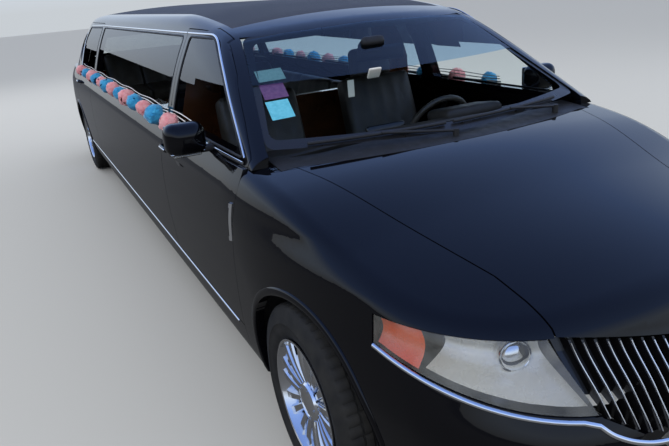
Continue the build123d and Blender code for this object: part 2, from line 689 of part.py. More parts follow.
# Running gear
def make_wheels():
    half = TYRE_WIDTH / 2
    bead = RIM_RADIUS - 12
    section = [
        (bead, half - 24),
        (TYRE_RADIUS - 62, half),
        (TYRE_RADIUS - 16, half - 14),
        (TYRE_RADIUS, half - 38),
    ]
    tyre_points = section + [(r, -w) for r, w in reversed(section)]
    rim_section = [
        (bead - 2, half - 23),
        (RIM_RADIUS, half - 15.5),
        (RIM_RADIUS, half - 9),
        (bead - 10, half - 12),
        (bead - 20, half - 40),
        (bead - 20, 12 - half),
        (RIM_RADIUS, 9 - half),
        (RIM_RADIUS, 15.5 - half),
        (bead - 2, 23 - half),
    ]
    hub_section = [(0, -38), (82, -38), (82, -6), (165, -6), (165, 8), (82, 8), (82, 40), (74, 76), (40, 84), (0, 86)]

    def turned(points):
        face = make_face(Polyline(*[(r, w) for r, w in points], close=True))
        return Rot(0, 0, -90) * revolve(Plane.XY * face, Axis.Y)

    tyre = turned(tyre_points)
    rim = turned(rim_section) + turned(hub_section)
    blades = []
    for i in range(SPOKES):
        for side in (1, -1):
            points = [(side * t, r) for t, r in SPOKE_BLADE]
            blade = extrude(Plane.YZ * make_face(Polyline(*points, close=True)), amount=SPOKE_THICK, dir=(1, 0, 0))
            blades.append(Rot(360 / SPOKES * i, 0, 0) * Pos(SPOKE_BACK, 0, 0) * blade)
    rim = rim.fuse(*[b.solid() for b in blades])
    corners = (
        ("front_left", 1, FRONT_AXLE),
        ("front_right", -1, FRONT_AXLE),
        ("rear_left", 1, REAR_AXLE),
        ("rear_right", -1, REAR_AXLE),
    )
    for name, side, axle in corners:
        spot = Pos(side * WHEEL_PLANE, NOSE_Y + axle, TYRE_RADIUS) * (Rot(0, 0, 0) if side > 0 else Rot(0, 0, 180))
        save(f"tyre_{name}", spot * tyre)
        save(f"rim_{name}", spot * rim)


def make_running_gear():
    hub_in = WHEEL_PLANE - 39
    upright = box(KINGPIN - 22, KINGPIN + 22, FRONT_AXLE - 45, FRONT_AXLE + 45, 270, 480)
    upright = upright + rod((KINGPIN, FRONT_AXLE, 250), (KINGPIN, FRONT_AXLE, 500), 20)
    upright = upright + drum(FRONT_AXLE, KINGPIN - 30, hub_in, 62)
    caliper = box(KINGPIN + 22, WHEEL_PLANE + 24, FRONT_AXLE + 100, FRONT_AXLE + 175, 320, 420)
    caliper = caliper - drum(FRONT_AXLE, WHEEL_PLANE - 12, WHEEL_PLANE + 14, 172)
    caliper = caliper + box(KINGPIN - 22, KINGPIN + 30, FRONT_AXLE, FRONT_AXLE + 150, 340, 400)
    save("knuckle_left", upright + caliper)
    save("knuckle_right", mirror(upright + caliper, Plane.YZ))

    arm = prism_z([(KINGPIN + 22, FRONT_AXLE - 30), (KINGPIN + 22, FRONT_AXLE + 30), (400, FRONT_AXLE + 130), (400, FRONT_AXLE - 130)], 222, 246)
    strut = rod((640, FRONT_AXLE, 240), (622, FRONT_AXLE, 800), 38)
    beam = box(-410, 410, FRONT_AXLE - 110, FRONT_AXLE + 110, 215, 285)
    save("front_suspension", beam + both(arm + strut))

    carrier = drum(REAR_AXLE, KINGPIN - 60, hub_in, 60)
    carrier = carrier + drum(REAR_AXLE, 200, KINGPIN, 22)
    carrier = carrier + box(330, KINGPIN - 30, REAR_AXLE + 50, REAR_AXLE + 100, 290, 340)
    carrier = carrier + box(KINGPIN - 60, KINGPIN - 20, REAR_AXLE - 50, REAR_AXLE + 100, 270, 480)
    final_drive = box(-200, 200, REAR_AXLE - 130, REAR_AXLE + 130, 290, 460)
    subframe = box(-440, 440, REAR_AXLE + 40, REAR_AXLE + 110, 290, 350)
    save("rear_suspension", both(carrier) + final_drive + subframe)


def make_chassis():
    """Ladder frame, floor with a step over the rear axle, wheel tubs, engine block, tank and exhaust."""
    step = REAR_AXLE - 420
    low_top = FLOOR - FLOOR_THICK
    high_top = low_top + AXLE_STEP
    low_rail = box(RAIL_IN, RAIL_OUT, 240, step, low_top - RAIL_HEIGHT, low_top)
    high_rail = box(RAIL_IN, RAIL_OUT, step - 80, LENGTH - 330, high_top - RAIL_HEIGHT, high_top)
    post = box(RAIL_IN, RAIL_OUT, step - 80, step, low_top - RAIL_HEIGHT, high_top)
    ladder = both(low_rail + high_rail + post)
    for station in CROSS_MEMBERS:
        ladder = ladder + box(-RAIL_IN, RAIL_IN, station, station + 70, low_top - 60, low_top)
    ladder = ladder + box(-RAIL_IN, RAIL_IN, LENGTH - 420, LENGTH - 350, high_top - 60, high_top)
    save("chassis_rails", ladder)

    riser = step - 100
    save("floor_pan", box(-FLOOR_HALF, FLOOR_HALF, FIREWALL, riser, low_top, FLOOR))
    floor = box(-FLOOR_HALF, FLOOR_HALF, riser, riser + 20, low_top, high_top + FLOOR_THICK)
    rear_floor = [(FLOOR_HALF, riser), (FLOOR_HALF, LENGTH - 330), (620, LENGTH - 190)]
    floor = floor + prism_z(mirrored(rear_floor), high_top, high_top + FLOOR_THICK)
    tub_radius = ARCH_RADIUS + 40
    wells = drum(REAR_AXLE, 630, SIDE_OUT, tub_radius)
    tub = drum(REAR_AXLE, 630, 840, tub_radius) - drum(REAR_AXLE, 642, SIDE_OUT, tub_radius - 12)
    tub = tub & box(600, SIDE_OUT, 6000, LENGTH, high_top, 1200)
    save("rear_floor", (floor - both(wells)) + both(tub))

    liner = drum(FRONT_AXLE, 492, SIDE_OUT, tub_radius) - drum(FRONT_AXLE, 500, SIDE_OUT, tub_radius - 8)
    liner = (liner & nose_stack(FENDER_WALL + 6)) & box(480, SIDE_OUT, 0, 2000, 400, 1200)
    save("wheel_liners", pair(liner))

    save("engine", box(*ENGINE))
    save("fuel_tank", box(*TANK))
    make_exhaust()


def make_exhaust():
    """Pipe under the floor, silencer behind the rear axle and a tailpipe."""
    x, z = TAILPIPE
    pipe = rod((x, PIPE_START, PIPE_HEIGHT), (x, LENGTH - 700, PIPE_HEIGHT), PIPE_RADIUS)
    tail = rod((x, LENGTH - 430, z), (x, LENGTH - 100, z), TAILPIPE_RADIUS)
    tail = tail - rod((x, LENGTH - 200, z), (x, LENGTH, z), TAILPIPE_RADIUS - 4)
    save("exhaust", pipe + box(*SILENCER) + tail)


# Cabin
def chair(x, station, width):
    """A bucket seat: base, cushion, raked back and headrest, each a side-view profile behind the seat's station."""
    pieces = []
    for points, share, radius in SEAT_PROFILES:
        half = width * share / 2
        placed = [(station + s, z) for s, z in points]
        pieces.append(prism_x(placed, x - half, x + half, radius=radius))
    return pieces[0].fuse(*pieces[1:])


def wheel_place():
    """Centre and tilt of the steering wheel, whose axis points at the driver."""
    x, station, z, tilt = STEERING_WHEEL
    return Pos(x, NOSE_Y + station, z) * Rot(-tilt, 0, 0)


def steering_wheel():
    """Ring, three spokes and boss, lying flat round the origin."""
    wheel = Torus(180, 15) + Cylinder(58, 56)
    for turn in (0, 180, 270):
        wheel = wheel + Rot(0, 0, turn) * (Pos(110, 0, 0) * Box(140, 34, 16))
    return wheel


def make_cabin():
    """Driver's cabin with its seats, dash and wheel, and behind the partition the lounge with benches and bar."""
    seats = [chair(side * SEAT_PLACE[0], SEAT_PLACE[1], SEAT_PLACE[2]) for side in (1, -1)]
    save("front_seats", Compound(children=[s for seat in seats for s in seat.solids()]))

    dash = prism_x(DASH, -740, 740, radius=20) + prism_x(CONSOLE, -CONSOLE_HALF, CONSOLE_HALF, radius=12)
    column = wheel_place() * Pos(0, 0, -104) * Cylinder(24, 150)
    save("dashboard", dash + column)
    save("steering_wheel", wheel_place() * steering_wheel())

    wall = box(-PARTITION_HALF, PARTITION_HALF, PARTITION, PARTITION + PARTITION_THICK, FLOOR, 2000)
    wall = wall & glasshouse_and_body(PARTITION_GAP)
    half_width, low, high = PARTITION_WINDOW
    save("partition", wall - box(-half_width, half_width, PARTITION - 10, PARTITION + PARTITION_THICK + 10, low, high))

    bench = prism_y(SIDE_BENCH, BENCH_FRONT, BENCH_REAR, radius=25)
    rear = prism_x([(REAR_AXLE + s, z) for s, z in REAR_BENCH], -600, 600, radius=25)
    save("lounge_seats", Compound(children=[bench.solid(), rear.solid()]))

    front, rear_end = BAR[0], BAR[1]
    cabinet = box(-770, -410, front, rear_end, FLOOR, 880) + box(-775, -390, front - 10, rear_end + 10, 880, 915)
    for station in BAR_WELLS:
        cabinet = cabinet - box(-700, -470, station, station + 320, 760, 1000)
    save("bar_cabinet", cabinet)


def glasshouse_and_body(inset):
    """The room inside the walls at the partition, drawn inwards by inset from the inner faces."""
    upper = glasshouse(PILLAR_WALL + inset)
    lower = mid_stack(DOOR_WALL + inset) & box(-SIDE_OUT, SIDE_OUT, 0, LENGTH, 0, BELT)
    return upper + lower


def screen_point(x, z, ahead):
    """A point ahead of the windscreen glass, at a place across and a height."""
    (z_low, width_low, screen_low, rear_low), (z_high, width_high, screen_high, rear_high) = GLASS_LEVELS[:2]
    share = (z - z_low) / (z_high - z_low)
    half_width = width_low + share * (width_high - width_low)
    tip = screen_low + share * (screen_high - screen_low)
    points = end_curve(half_width, tip, 1, SCREEN_CURVE, GLASS_SUNK)
    radius = points[4][0] / cos(radians(SCREEN_CURVE[1] + SCREEN_CURVE[3]))
    return Vector(x, points[5][1] + radius - sqrt(radius**2 - x**2) - ahead, z)


def make_wipers():
    """Two parked wipers: a blade along the foot of the windscreen and an arm from its spindle in the scuttle."""
    pieces = []
    scuttle_top = crowned(DECK_STATIONS, 4, 0)
    for pivot, start, end in WIPERS:
        ends = [screen_point(x, WIPER_HEIGHT, WIPER_AHEAD) for x in (start, (start + end) / 2, end)]
        path = Edge.make_three_point_arc(*ends)
        blade = sweep(Plane(origin=path @ 0, z_dir=path % 0) * Circle(WIPER_RADIUS), Wire([path]))
        foot = screen_point(pivot, WIPER_HEIGHT, WIPER_AHEAD + 45)
        tip = ends[1] + Vector(0, -6, 4)
        spindle = Solid.make_cylinder(13, 80, Plane(origin=(foot.X, foot.Y, 1105), z_dir=(0, 0, 1))) - scuttle_top
        top = Vector(foot.X, foot.Y, 1178)
        arm = Solid.make_cylinder(6, (tip - top).length, Plane(origin=top, z_dir=tip - top))
        pieces.append((blade + spindle + arm).solid())
    save("wipers", Compound(children=pieces))


def main():
    front, door, middle, tail = lower_walls()
    upper = glasshouse(0) - glasshouse(PILLAR_WALL)
    upper_glass = glasshouse(GLASS_SUNK) - glasshouse(GLASS_SUNK + GLASS)
    make_front(front, None)
    make_sides(door, middle, tail, upper)
    make_glass(upper_glass)
    make_rear(tail, upper, upper_glass)
    make_roof(upper)
    make_wheels()
    make_running_gear()
    make_chassis()
    make_cabin()
    make_wipers()


main()
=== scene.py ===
"""Looks of the stretch limousine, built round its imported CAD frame.

Metres. The nose is towards -Y and the driver's side is at +X. A station is a distance behind the nose.
"""

import json
from math import ceil, cos, pi, radians, sin

import bmesh
import bpy
import numpy as np
from mathutils import Matrix, Vector


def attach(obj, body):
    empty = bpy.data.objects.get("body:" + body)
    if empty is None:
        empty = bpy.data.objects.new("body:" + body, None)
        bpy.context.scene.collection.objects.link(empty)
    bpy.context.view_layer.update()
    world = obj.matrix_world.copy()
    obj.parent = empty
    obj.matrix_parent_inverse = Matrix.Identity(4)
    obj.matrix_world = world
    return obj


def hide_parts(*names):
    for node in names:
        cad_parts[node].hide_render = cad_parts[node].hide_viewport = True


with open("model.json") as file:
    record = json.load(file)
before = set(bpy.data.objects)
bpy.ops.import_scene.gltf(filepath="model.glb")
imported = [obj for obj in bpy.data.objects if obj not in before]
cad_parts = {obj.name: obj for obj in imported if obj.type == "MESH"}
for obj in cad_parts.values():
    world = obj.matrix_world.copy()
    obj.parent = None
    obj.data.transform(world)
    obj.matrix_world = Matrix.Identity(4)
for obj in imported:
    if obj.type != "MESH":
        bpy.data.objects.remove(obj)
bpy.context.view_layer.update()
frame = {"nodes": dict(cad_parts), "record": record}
nodes = frame["nodes"]

# Sizes of the car, as in its construction
LENGTH = 8.321
NOSE_Y = -LENGTH / 2
FRONT_AXLE = 0.985
REAR_AXLE = 7.028
WHEEL_PLANE = 0.822
TYRE_RADIUS = 0.37
GLASS_SUNK = 0.004
GLASS_INSIDE = 0.012
LAMP_SUNK = 0.003
SIDES = (("left", 1), ("right", -1))
CORNERS = (
    ("front_left", 1, FRONT_AXLE),
    ("front_right", -1, FRONT_AXLE),
    ("rear_left", 1, REAR_AXLE),
    ("rear_right", -1, REAR_AXLE),
)


def sy(station):
    """Place along the car of a station."""
    return NOSE_Y + station


# Materials
def shader(tree, kind, **values):
    """A shader node. Each keyword names an input, with _ for its spaces."""
    made = tree.nodes.new("ShaderNode" + kind)
    for key, value in values.items():
        socket = made.inputs[key.replace("_", " ")]
        socket.default_value = (*value, 1) if socket.type == "RGBA" else value
    return made


def wire(tree, *joins):
    """Joins a node's output to a node's input: source, output, target, input."""
    for source, out, target, into in joins:
        tree.links.new(source.outputs[out], target.inputs[into])


def noise(tree, scale, detail=3.0, kind="TexNoise", stretch=None):
    """A noise texture in object space."""
    coords = shader(tree, "TexCoord")
    texture = shader(tree, kind, Scale=scale)
    if kind == "TexNoise":
        texture.inputs["Detail"].default_value = detail
    if stretch:
        mapping = shader(tree, "Mapping", Scale=stretch)
        wire(tree, (coords, "Object", mapping, "Vector"), (mapping, "Vector", texture, "Vector"))
    else:
        wire(tree, (coords, "Object", texture, "Vector"))
    return texture


def spread_noise(tree, scale, low, high, detail=3.0):
    """A noise that wanders between two values."""
    spread = shader(tree, "MapRange", From_Min=0.3, From_Max=0.7, To_Min=low, To_Max=high)
    wire(tree, (noise(tree, scale, detail), 0, spread, "Value"))
    return spread


def add_bump(tree, scale, strength, distance=0.001, kind="TexNoise"):
    """Fine relief."""
    bump = shader(tree, "Bump", Strength=strength, Distance=distance)
    skin = tree.nodes["Principled BSDF"]
    wire(tree, (noise(tree, scale, kind=kind), 0, bump, "Height"), (bump, "Normal", skin, "Normal"))


def add_wear(tree, scale, low, high):
    """Uneven gloss: roughness wanders between two values."""
    spread = spread_noise(tree, scale, low, high)
    wire(tree, (spread, "Result", tree.nodes["Principled BSDF"], "Roughness"))


def add_tones(tree, scale, first, second, stretch=None):
    """Uneven colour between two tones."""
    ramp = shader(tree, "ValToRGB")
    for stop, place, color in zip(ramp.color_ramp.elements, (0.3, 0.7), (first, second)):
        stop.position = place
        stop.color = (*color, 1)
    texture = noise(tree, scale, 5.0, stretch=stretch)
    skin = tree.nodes["Principled BSDF"]
    wire(tree, (texture, 0, ramp, "Fac"), (ramp, "Color", skin, "Base Color"))


RELIEF = {"wear": add_wear, "tones": add_tones, "bump": add_bump}


def material(name, color, metallic=0.0, rough=0.5, coat=0.0, ior=1.5, spec=0.5, sheen=0.0, **relief):
    """A principled material, with wear, tones and bump where they are given."""
    mat = bpy.data.materials.new(name)
    mat.use_nodes = True
    tree = mat.node_tree
    values = {"Base Color": (*color, 1), "Metallic": metallic, "Roughness": rough, "Coat Weight": coat}
    values |= {"Coat Roughness": 0.02, "IOR": ior, "Specular IOR Level": spec, "Sheen Weight": sheen}
    for key, value in values.items():
        tree.nodes["Principled BSDF"].inputs[key].default_value = value
    for kind, options in relief.items():
        RELIEF[kind](tree, *options)
    return mat


def see_through(name, color):
    """The back of a pane: tint without gloss."""
    mat = bpy.data.materials.new(name)
    mat.use_nodes = True
    tree = mat.node_tree
    tree.nodes.clear()
    through = shader(tree, "BsdfTransparent", Color=color)
    wire(tree, (through, 0, shader(tree, "OutputMaterial"), "Surface"))
    return mat


def tinted(name, color, haze=0.0, haze_color=(0.6, 0.6, 0.58)):
    """Window glass: a glossy skin over a see-through tint, with a share of haze."""
    mat = see_through(name, color)
    tree = mat.node_tree
    under = tree.nodes["Transparent BSDF"]
    if haze:
        spread = spread_noise(tree, 14, haze * 0.5, haze * 1.5, 4.0)
        cloud = shader(tree, "BsdfDiffuse", Color=haze_color)
        cloudy = shader(tree, "MixShader")
        wire(tree, (spread, "Result", cloudy, 0), (under, 0, cloudy, 1), (cloud, 0, cloudy, 2))
        under = cloudy
    fresnel = shader(tree, "Fresnel", IOR=1.5)
    gloss = shader(tree, "BsdfGlossy", Roughness=0.01)
    mix = shader(tree, "MixShader")
    wire(tree, (fresnel, 0, mix, 0), (under, 0, mix, 1), (gloss, 0, mix, 2))
    wire(tree, (mix, 0, tree.nodes["Material Output"], "Surface"))
    return mat


def toned(name, scale, first, second, stretch=None, **values):
    """A material in two close tones."""
    return material(name, first, tones=(scale, first, second, stretch), **values)


VORONOI = "TexVoronoi"
PAINT = material("paint", (0.002, 0.002, 0.0035), ior=1.38, wear=(7, 0.02, 0.06))
GRAIN = (420, 0.6, 0.0008, VORONOI)
VINYL = toned("vinyl", 3, (0.03, 0.03, 0.035), (0.045, 0.045, 0.05), rough=0.62, spec=0.35, bump=GRAIN)
CHROME = material("chrome", (0.82, 0.83, 0.85), 1.0, wear=(30, 0.03, 0.1))
RIM = material("rim", (0.72, 0.73, 0.75), 1.0, wear=(24, 0.06, 0.18))
SKIN = (400, 0.2, 0.0004)
RUBBER = toned("rubber", 16, (0.014, 0.014, 0.014), (0.03, 0.029, 0.027), rough=0.75, spec=0.3, bump=SKIN)
PORES = (900, 0.25, 0.0003)
PLASTIC = material("plastic", (0.018, 0.018, 0.019), spec=0.4, wear=(20, 0.45, 0.65), bump=PORES)
GLOSS_PLASTIC = material("gloss_plastic", (0.006, 0.006, 0.007), wear=(20, 0.12, 0.25))
WHITE_PLASTIC = material("white_plastic", (0.75, 0.75, 0.73), wear=(40, 0.25, 0.45))
SIDE_GLASS = tinted("side_glass", (0.16, 0.18, 0.17))
SCREEN_GLASS = tinted("screen_glass", (0.52, 0.7, 0.82))
PANE_BACK = see_through("pane_back", (0.96, 0.98, 0.98))
LENS = tinted("lens", (0.94, 0.95, 0.95), 0.1, (0.72, 0.74, 0.72))
PRISMS = (180, 0.5, 0.0015, VORONOI)
AMBER = material("amber", (0.85, 0.12, 0.004), coat=1.0, wear=(40, 0.12, 0.25), bump=PRISMS)
FINE_PRISMS = (220, 0.35, 0.001, VORONOI)
RED = material("red", (0.35, 0.008, 0.01), coat=1.0, wear=(40, 0.1, 0.2), bump=FINE_PRISMS)
REFLECTOR = material("reflector", (0.82, 0.82, 0.78), 0.25, wear=(25, 0.2, 0.4))
MIRROR = material("mirror", (0.85, 0.86, 0.88), 1.0, wear=(8, 0.01, 0.03))
FRIT = material("frit", (0.01, 0.01, 0.011), wear=(30, 0.25, 0.4))
CHASSIS = toned("chassis", 5, (0.02, 0.02, 0.021), (0.05, 0.045, 0.04), wear=(9, 0.4, 0.7))
STEEL = material("steel", (0.42, 0.42, 0.43), 1.0, wear=(18, 0.25, 0.5))
CAST = material("cast", (0.25, 0.25, 0.26), 0.9, bump=(150, 0.5, 0.001))
HIDE = (260, 0.4, 0.0006, VORONOI)
LEATHER = toned("leather", 12, (0.025, 0.023, 0.022), (0.045, 0.042, 0.04), rough=0.45, bump=HIDE)
WOOD = toned("wood", 6, (0.035, 0.012, 0.005), (0.11, 0.04, 0.016), (1, 0.12, 1), rough=0.2, coat=1.0)
CARPET = material("carpet", (0.03, 0.03, 0.033), rough=0.95, spec=0.1, sheen=0.3, bump=(700, 0.9, 0.002))
PAPER_PALE = toned("paper_pale", 60, (0.5, 0.64, 0.58), (0.62, 0.74, 0.68))
PAPER_PURPLE = toned("paper_purple", 60, (0.08, 0.03, 0.12), (0.13, 0.06, 0.17))
PAPER_CYAN = toned("paper_cyan", 60, (0.08, 0.44, 0.62), (0.14, 0.56, 0.76))
PLATE = toned("plate", 25, (0.68, 0.69, 0.68), (0.76, 0.77, 0.76), rough=0.4)
BLUE_TULLE = toned("blue_tulle", 40, (0.01, 0.25, 0.6), (0.05, 0.45, 0.8), rough=0.7, sheen=0.4)
PINK_TULLE = toned("pink_tulle", 40, (0.78, 0.25, 0.3), (0.92, 0.48, 0.52), rough=0.7, sheen=0.4)
RIBBON = toned("ribbon", 50, (0.72, 0.73, 0.76), (0.86, 0.86, 0.88), rough=0.35, sheen=0.3)


def both(*names):
    """The left and right node of each name."""
    return [f"{name}_{side}" for name in names for side, _ in SIDES]


CAD_LOOKS = {
    PAINT: ["hood", "front_wings", "front_bumper", "rear_bumper", "liftgate", "roof_header"]
    + both("body_side", "front_door", "rear_door", "side_frame", "mirror"),
    VINYL: ["roof"],
    GLOSS_PLASTIC: ["grille"],
    RIM: [f"rim_{corner}" for corner, _, _ in CORNERS],
    RUBBER: [f"tyre_{corner}" for corner, _, _ in CORNERS],
    PLASTIC: ["scuttle", "wheel_liners", "wipers", "dashboard", "fuel_tank"],
    SIDE_GLASS: ["fixed_side_glass", "liftgate_glass"] + both("front_glass", "rear_glass"),
    SCREEN_GLASS: ["windscreen"],
    LENS: ["headlamps"],
    RED: ["tail_lamps", "liftgate_lamp"],
    CHASSIS: ["chassis_rails", "front_suspension", "rear_suspension"],
    CARPET: ["floor_pan", "rear_floor"],
    STEEL: ["exhaust"],
    CAST: ["engine"] + both("knuckle"),
    LEATHER: ["front_seats", "lounge_seats", "steering_wheel"],
    WOOD: ["bar_cabinet", "partition"],
}
for look, names in CAD_LOOKS.items():
    for name in names:
        nodes[name].data.materials.clear()
        nodes[name].data.materials.append(look)


# Master surfaces: the smooth shapes that the CAD panels are cut from
BODY_LEVELS = np.array(
    [
        # Height, half width, nose station, tail set-in
        (0.19, 0.868, 0.075, 0.11),
        (0.33, 0.925, 0.028, 0.04),
        (0.56, 0.953, 0.000, 0.000),
        (0.7, 0.961, 0.062, 0.006),
        (0.8, 0.963, 0.132, 0.026),
        (0.905, 0.96, 0.182, 0.058),
        (1.01, 0.95, 0.318, 0.088),
        (1.14, 0.899, 0.33, 0.132),
        (1.24, 0.85, 0.345, 0.15),
    ]
)
GLASS_LEVELS = np.array([(1.14, 0.886, 1.187, 0.14), (1.4, 0.797, 1.655, 0.42), (1.76, 0.616, 2.32, 0.9)])
# Side radius, side turn, corner radius, corner turn
NOSE_CURVE = (3.0, 17, 0.56, 56)
TAIL_CURVE = (5.0, 9, 0.33, 63)
SCREEN_CURVE = (9.0, 3, 0.092, 67)
BACKLIGHT_CURVE = (4.5, 12, 0.24, 50)
# Station, height on the centre line, crown radius
DECK = [(0.06, 0.85, 2.5), (0.182, 0.905, 2.6), (0.76, 1.056, 4.4), (1.19, 1.15, 8.5), (1.75, 1.2, 14.0)]
DECK = np.array(DECK)
ROOF = np.array(
    [
        (1.4, 1.33, 4.6),
        (2.02, 1.6, 4.6),
        (2.38, 1.668, 5.4),
        (3.0, 1.712, 6.4),
        (LENGTH - 2.5, 1.716, 6.4),
        (LENGTH - 1.3, 1.682, 5.4),
        (LENGTH - 0.5, 1.596, 4.2),
        (LENGTH + 0.06, 1.49, 3.6),
    ]
)


def smooth(table, at):
    """Monotone cubic through the rows of a table: its first column against each other one."""
    x = table[:, 0]
    values = table[:, 1:]
    step = np.diff(x)[:, None]
    slope = np.diff(values, axis=0) / step
    tangent = np.zeros_like(values)
    same = slope[:-1] * slope[1:] > 0
    weight_a = 2 * step[1:] + step[:-1]
    weight_b = step[1:] + 2 * step[:-1]
    with np.errstate(divide="ignore", invalid="ignore"):
        inner = (weight_a + weight_b) / (weight_a / slope[:-1] + weight_b / slope[1:])
    tangent[1:-1] = np.where(same, inner, 0)
    tangent[0] = slope[0]
    tangent[-1] = slope[-1]
    at = np.clip(at, x[0], x[-1])
    i = np.clip(np.searchsorted(x, at) - 1, 0, len(x) - 2)
    h = step[i]
    t = ((at - x[i])[:, None]) / h
    a, b = values[i], values[i + 1]
    ta, tb = tangent[i] * h, tangent[i + 1] * h
    rising = 3 * t**2 - 2 * t**3
    return a * (1 - rising) + b * rising + ta * (t**3 - 2 * t**2 + t) + tb * (t**3 - t**2)


def linear(table, at):
    """The same table with straight lines between its rows, as the CAD panels have them."""
    return np.stack([np.interp(at, table[:, 0], table[:, k]) for k in range(1, table.shape[1])], axis=1)


def end_distance(x, depth, half_width, curve, inset):
    """Distance outside a nose or tail outline in plan. x is across, depth is behind the tip."""
    side_radius, side_turn, corner_radius, corner_turn = curve
    r_side = side_radius - inset
    r_corner = corner_radius - inset
    a = radians(side_turn)
    b = radians(side_turn + corner_turn)
    width = half_width - inset
    x_corner = width - r_side * (1 - cos(a))
    x_front = x_corner - r_corner * (cos(a) - cos(b))
    r_front = x_front / cos(b)
    depth_corner = r_front * (1 - sin(b)) + r_corner * (sin(b) - sin(a))
    depth_side = depth_corner + r_side * sin(a)
    depth = depth - inset
    corner_x = x_corner - r_corner * cos(a)
    corner_d = depth_corner + r_corner * sin(a)
    from_side = np.hypot(x - (width - r_side), depth - depth_side) - r_side
    from_corner = np.hypot(x - corner_x, depth - corner_d) - r_corner
    from_front = np.hypot(x, depth - r_front) - r_front
    angle_corner = np.arctan2(corner_d - depth, x - corner_x)
    out = np.where(angle_corner > b, from_front, from_corner)
    out = np.where(angle_corner < a, from_side, out)
    return np.where(depth > depth_side, x - width, out)


def stack_distance(points, inset, levels, table, nose_curve, tail_curve):
    """Distance outside a stack of plan outlines."""
    x = np.abs(points[:, 0])
    station = points[:, 1] - NOSE_Y
    rows = levels(table, points[:, 2])
    nose = end_distance(x, station - rows[:, 1], rows[:, 0], nose_curve, inset)
    tail = end_distance(x, (LENGTH - rows[:, 2]) - station, rows[:, 0], tail_curve, inset)
    return np.where(station < LENGTH / 2, nose, tail)


def crown_distance(points, inset, levels, table):
    """Distance above a crowned surface."""
    station = points[:, 1] - NOSE_Y
    rows = levels(table, station)
    radius = rows[:, 1]
    top = rows[:, 0] - inset - (radius - np.sqrt(radius**2 - points[:, 0] ** 2))
    return points[:, 2] - top


SURFACES = {
    "body": (stack_distance, BODY_LEVELS, NOSE_CURVE, TAIL_CURVE),
    "glass": (stack_distance, GLASS_LEVELS, SCREEN_CURVE, BACKLIGHT_CURVE),
    "deck": (crown_distance, DECK),
    "roof": (crown_distance, ROOF),
}


def outside(surface, points, inset=0.0, levels=smooth):
    """Distance outside a master surface."""
    distance, *shape = SURFACES[surface]
    return distance(points, inset, levels, *shape)


# Fields: a plain master surface, or two that meet in a rounded edge, with its rounding and mesh size
FIELDS = {
    "body": (("body",), 0, 0),
    "glass": (("glass",), 0, 0),
    "roof": (("roof",), 0, 0),
    "lower": (("body", "deck"), 0.045, 0.02),
    "upper": (("glass", "roof"), 0.05, 0.05),
}
# How far a CAD vertex may lie from the master surface it was cut on
TOLERANCE = {"body": 0.0015, "glass": 0.0015, "deck": 0.013, "roof": 0.01}
SLOPE_STEP = 0.002
CAST_STEPS = 34


def field(name, points, inset=0.0):
    """Distance outside a field, negative inside it."""
    parts, soft, _ = FIELDS[name]
    values = [outside(part, points, inset) for part in parts]
    if len(values) == 1:
        return values[0]
    share = np.maximum(soft - np.abs(values[0] - values[1]), 0) / soft
    return np.maximum(values[0], values[1]) + share * share * soft / 4


def gradient(name, points, inset=0.0):
    """Slope of a field."""
    slopes = []
    for shift in np.eye(3) * SLOPE_STEP:
        rise = field(name, points + shift, inset) - field(name, points - shift, inset)
        slopes.append(rise / (2 * SLOPE_STEP))
    return np.stack(slopes, axis=1)


def unit(vectors):
    """Vectors of length 1."""
    return vectors / np.maximum(np.linalg.norm(vectors, axis=-1, keepdims=True), 1e-9)


def cast(name, a, b, inset=0.0):
    """Where lines from inside a field to outside it cross its surface, and the surface's directions there."""
    for _ in range(CAST_STEPS):
        middle = (a + b) / 2
        inside = (field(name, middle, inset) < 0)[:, None]
        a = np.where(inside, middle, a)
        b = np.where(inside, b, middle)
    spots = (a + b) / 2
    return spots, unit(gradient(name, spots, inset))


def on_side(outline, side, name, inset=0.0):
    """Points of a side view (station, height) on a flank."""
    outline = np.asarray(outline)
    lines = [np.insert(outline, 0, x * side, axis=1) + (0, NOSE_Y, 0) for x in (0.1, 1.4)]
    return cast(name, *lines, inset)


def on_end(outline, name, inset=0.0, rear=False):
    """Points of a front or rear view (across, height) on the nose, windscreen or tail."""
    stations = (6.6, LENGTH + 0.4) if rear else (2.6, -0.4)
    lines = [np.insert(np.asarray(outline), 1, sy(station), axis=1) for station in stations]
    return cast(name, *lines, inset)


def soften(points, radius=0.0, step=0.03, closed=False):
    """A polyline with rounded corners, divided into short steps."""
    corners = [Vector(p) for p in points]
    out = []
    for i, corner in enumerate(corners):
        if radius == 0 or (not closed and i in (0, len(corners) - 1)):
            out.append(corner)
            continue
        before, after = corners[i - 1] - corner, corners[(i + 1) % len(corners)] - corner
        reach = min(radius, before.length / 2.1, after.length / 2.1)
        start, end = corner + before.normalized() * reach, corner + after.normalized() * reach
        for k in range(7):
            t = k / 6
            out.append(start * (1 - t) ** 2 + corner * 2 * t * (1 - t) + end * t * t)
    if closed:
        out.append(out[0])
    dense = []
    for a, b in zip(out, out[1:]):
        count = max(1, ceil((b - a).length / step))
        dense += [a + (b - a) * k / count for k in range(count)]
    if not closed:
        dense.append(out[-1])
    return np.array([tuple(p) for p in dense])


# Pieces: a part is a list of points with a list of faces
SHARP = radians(35)


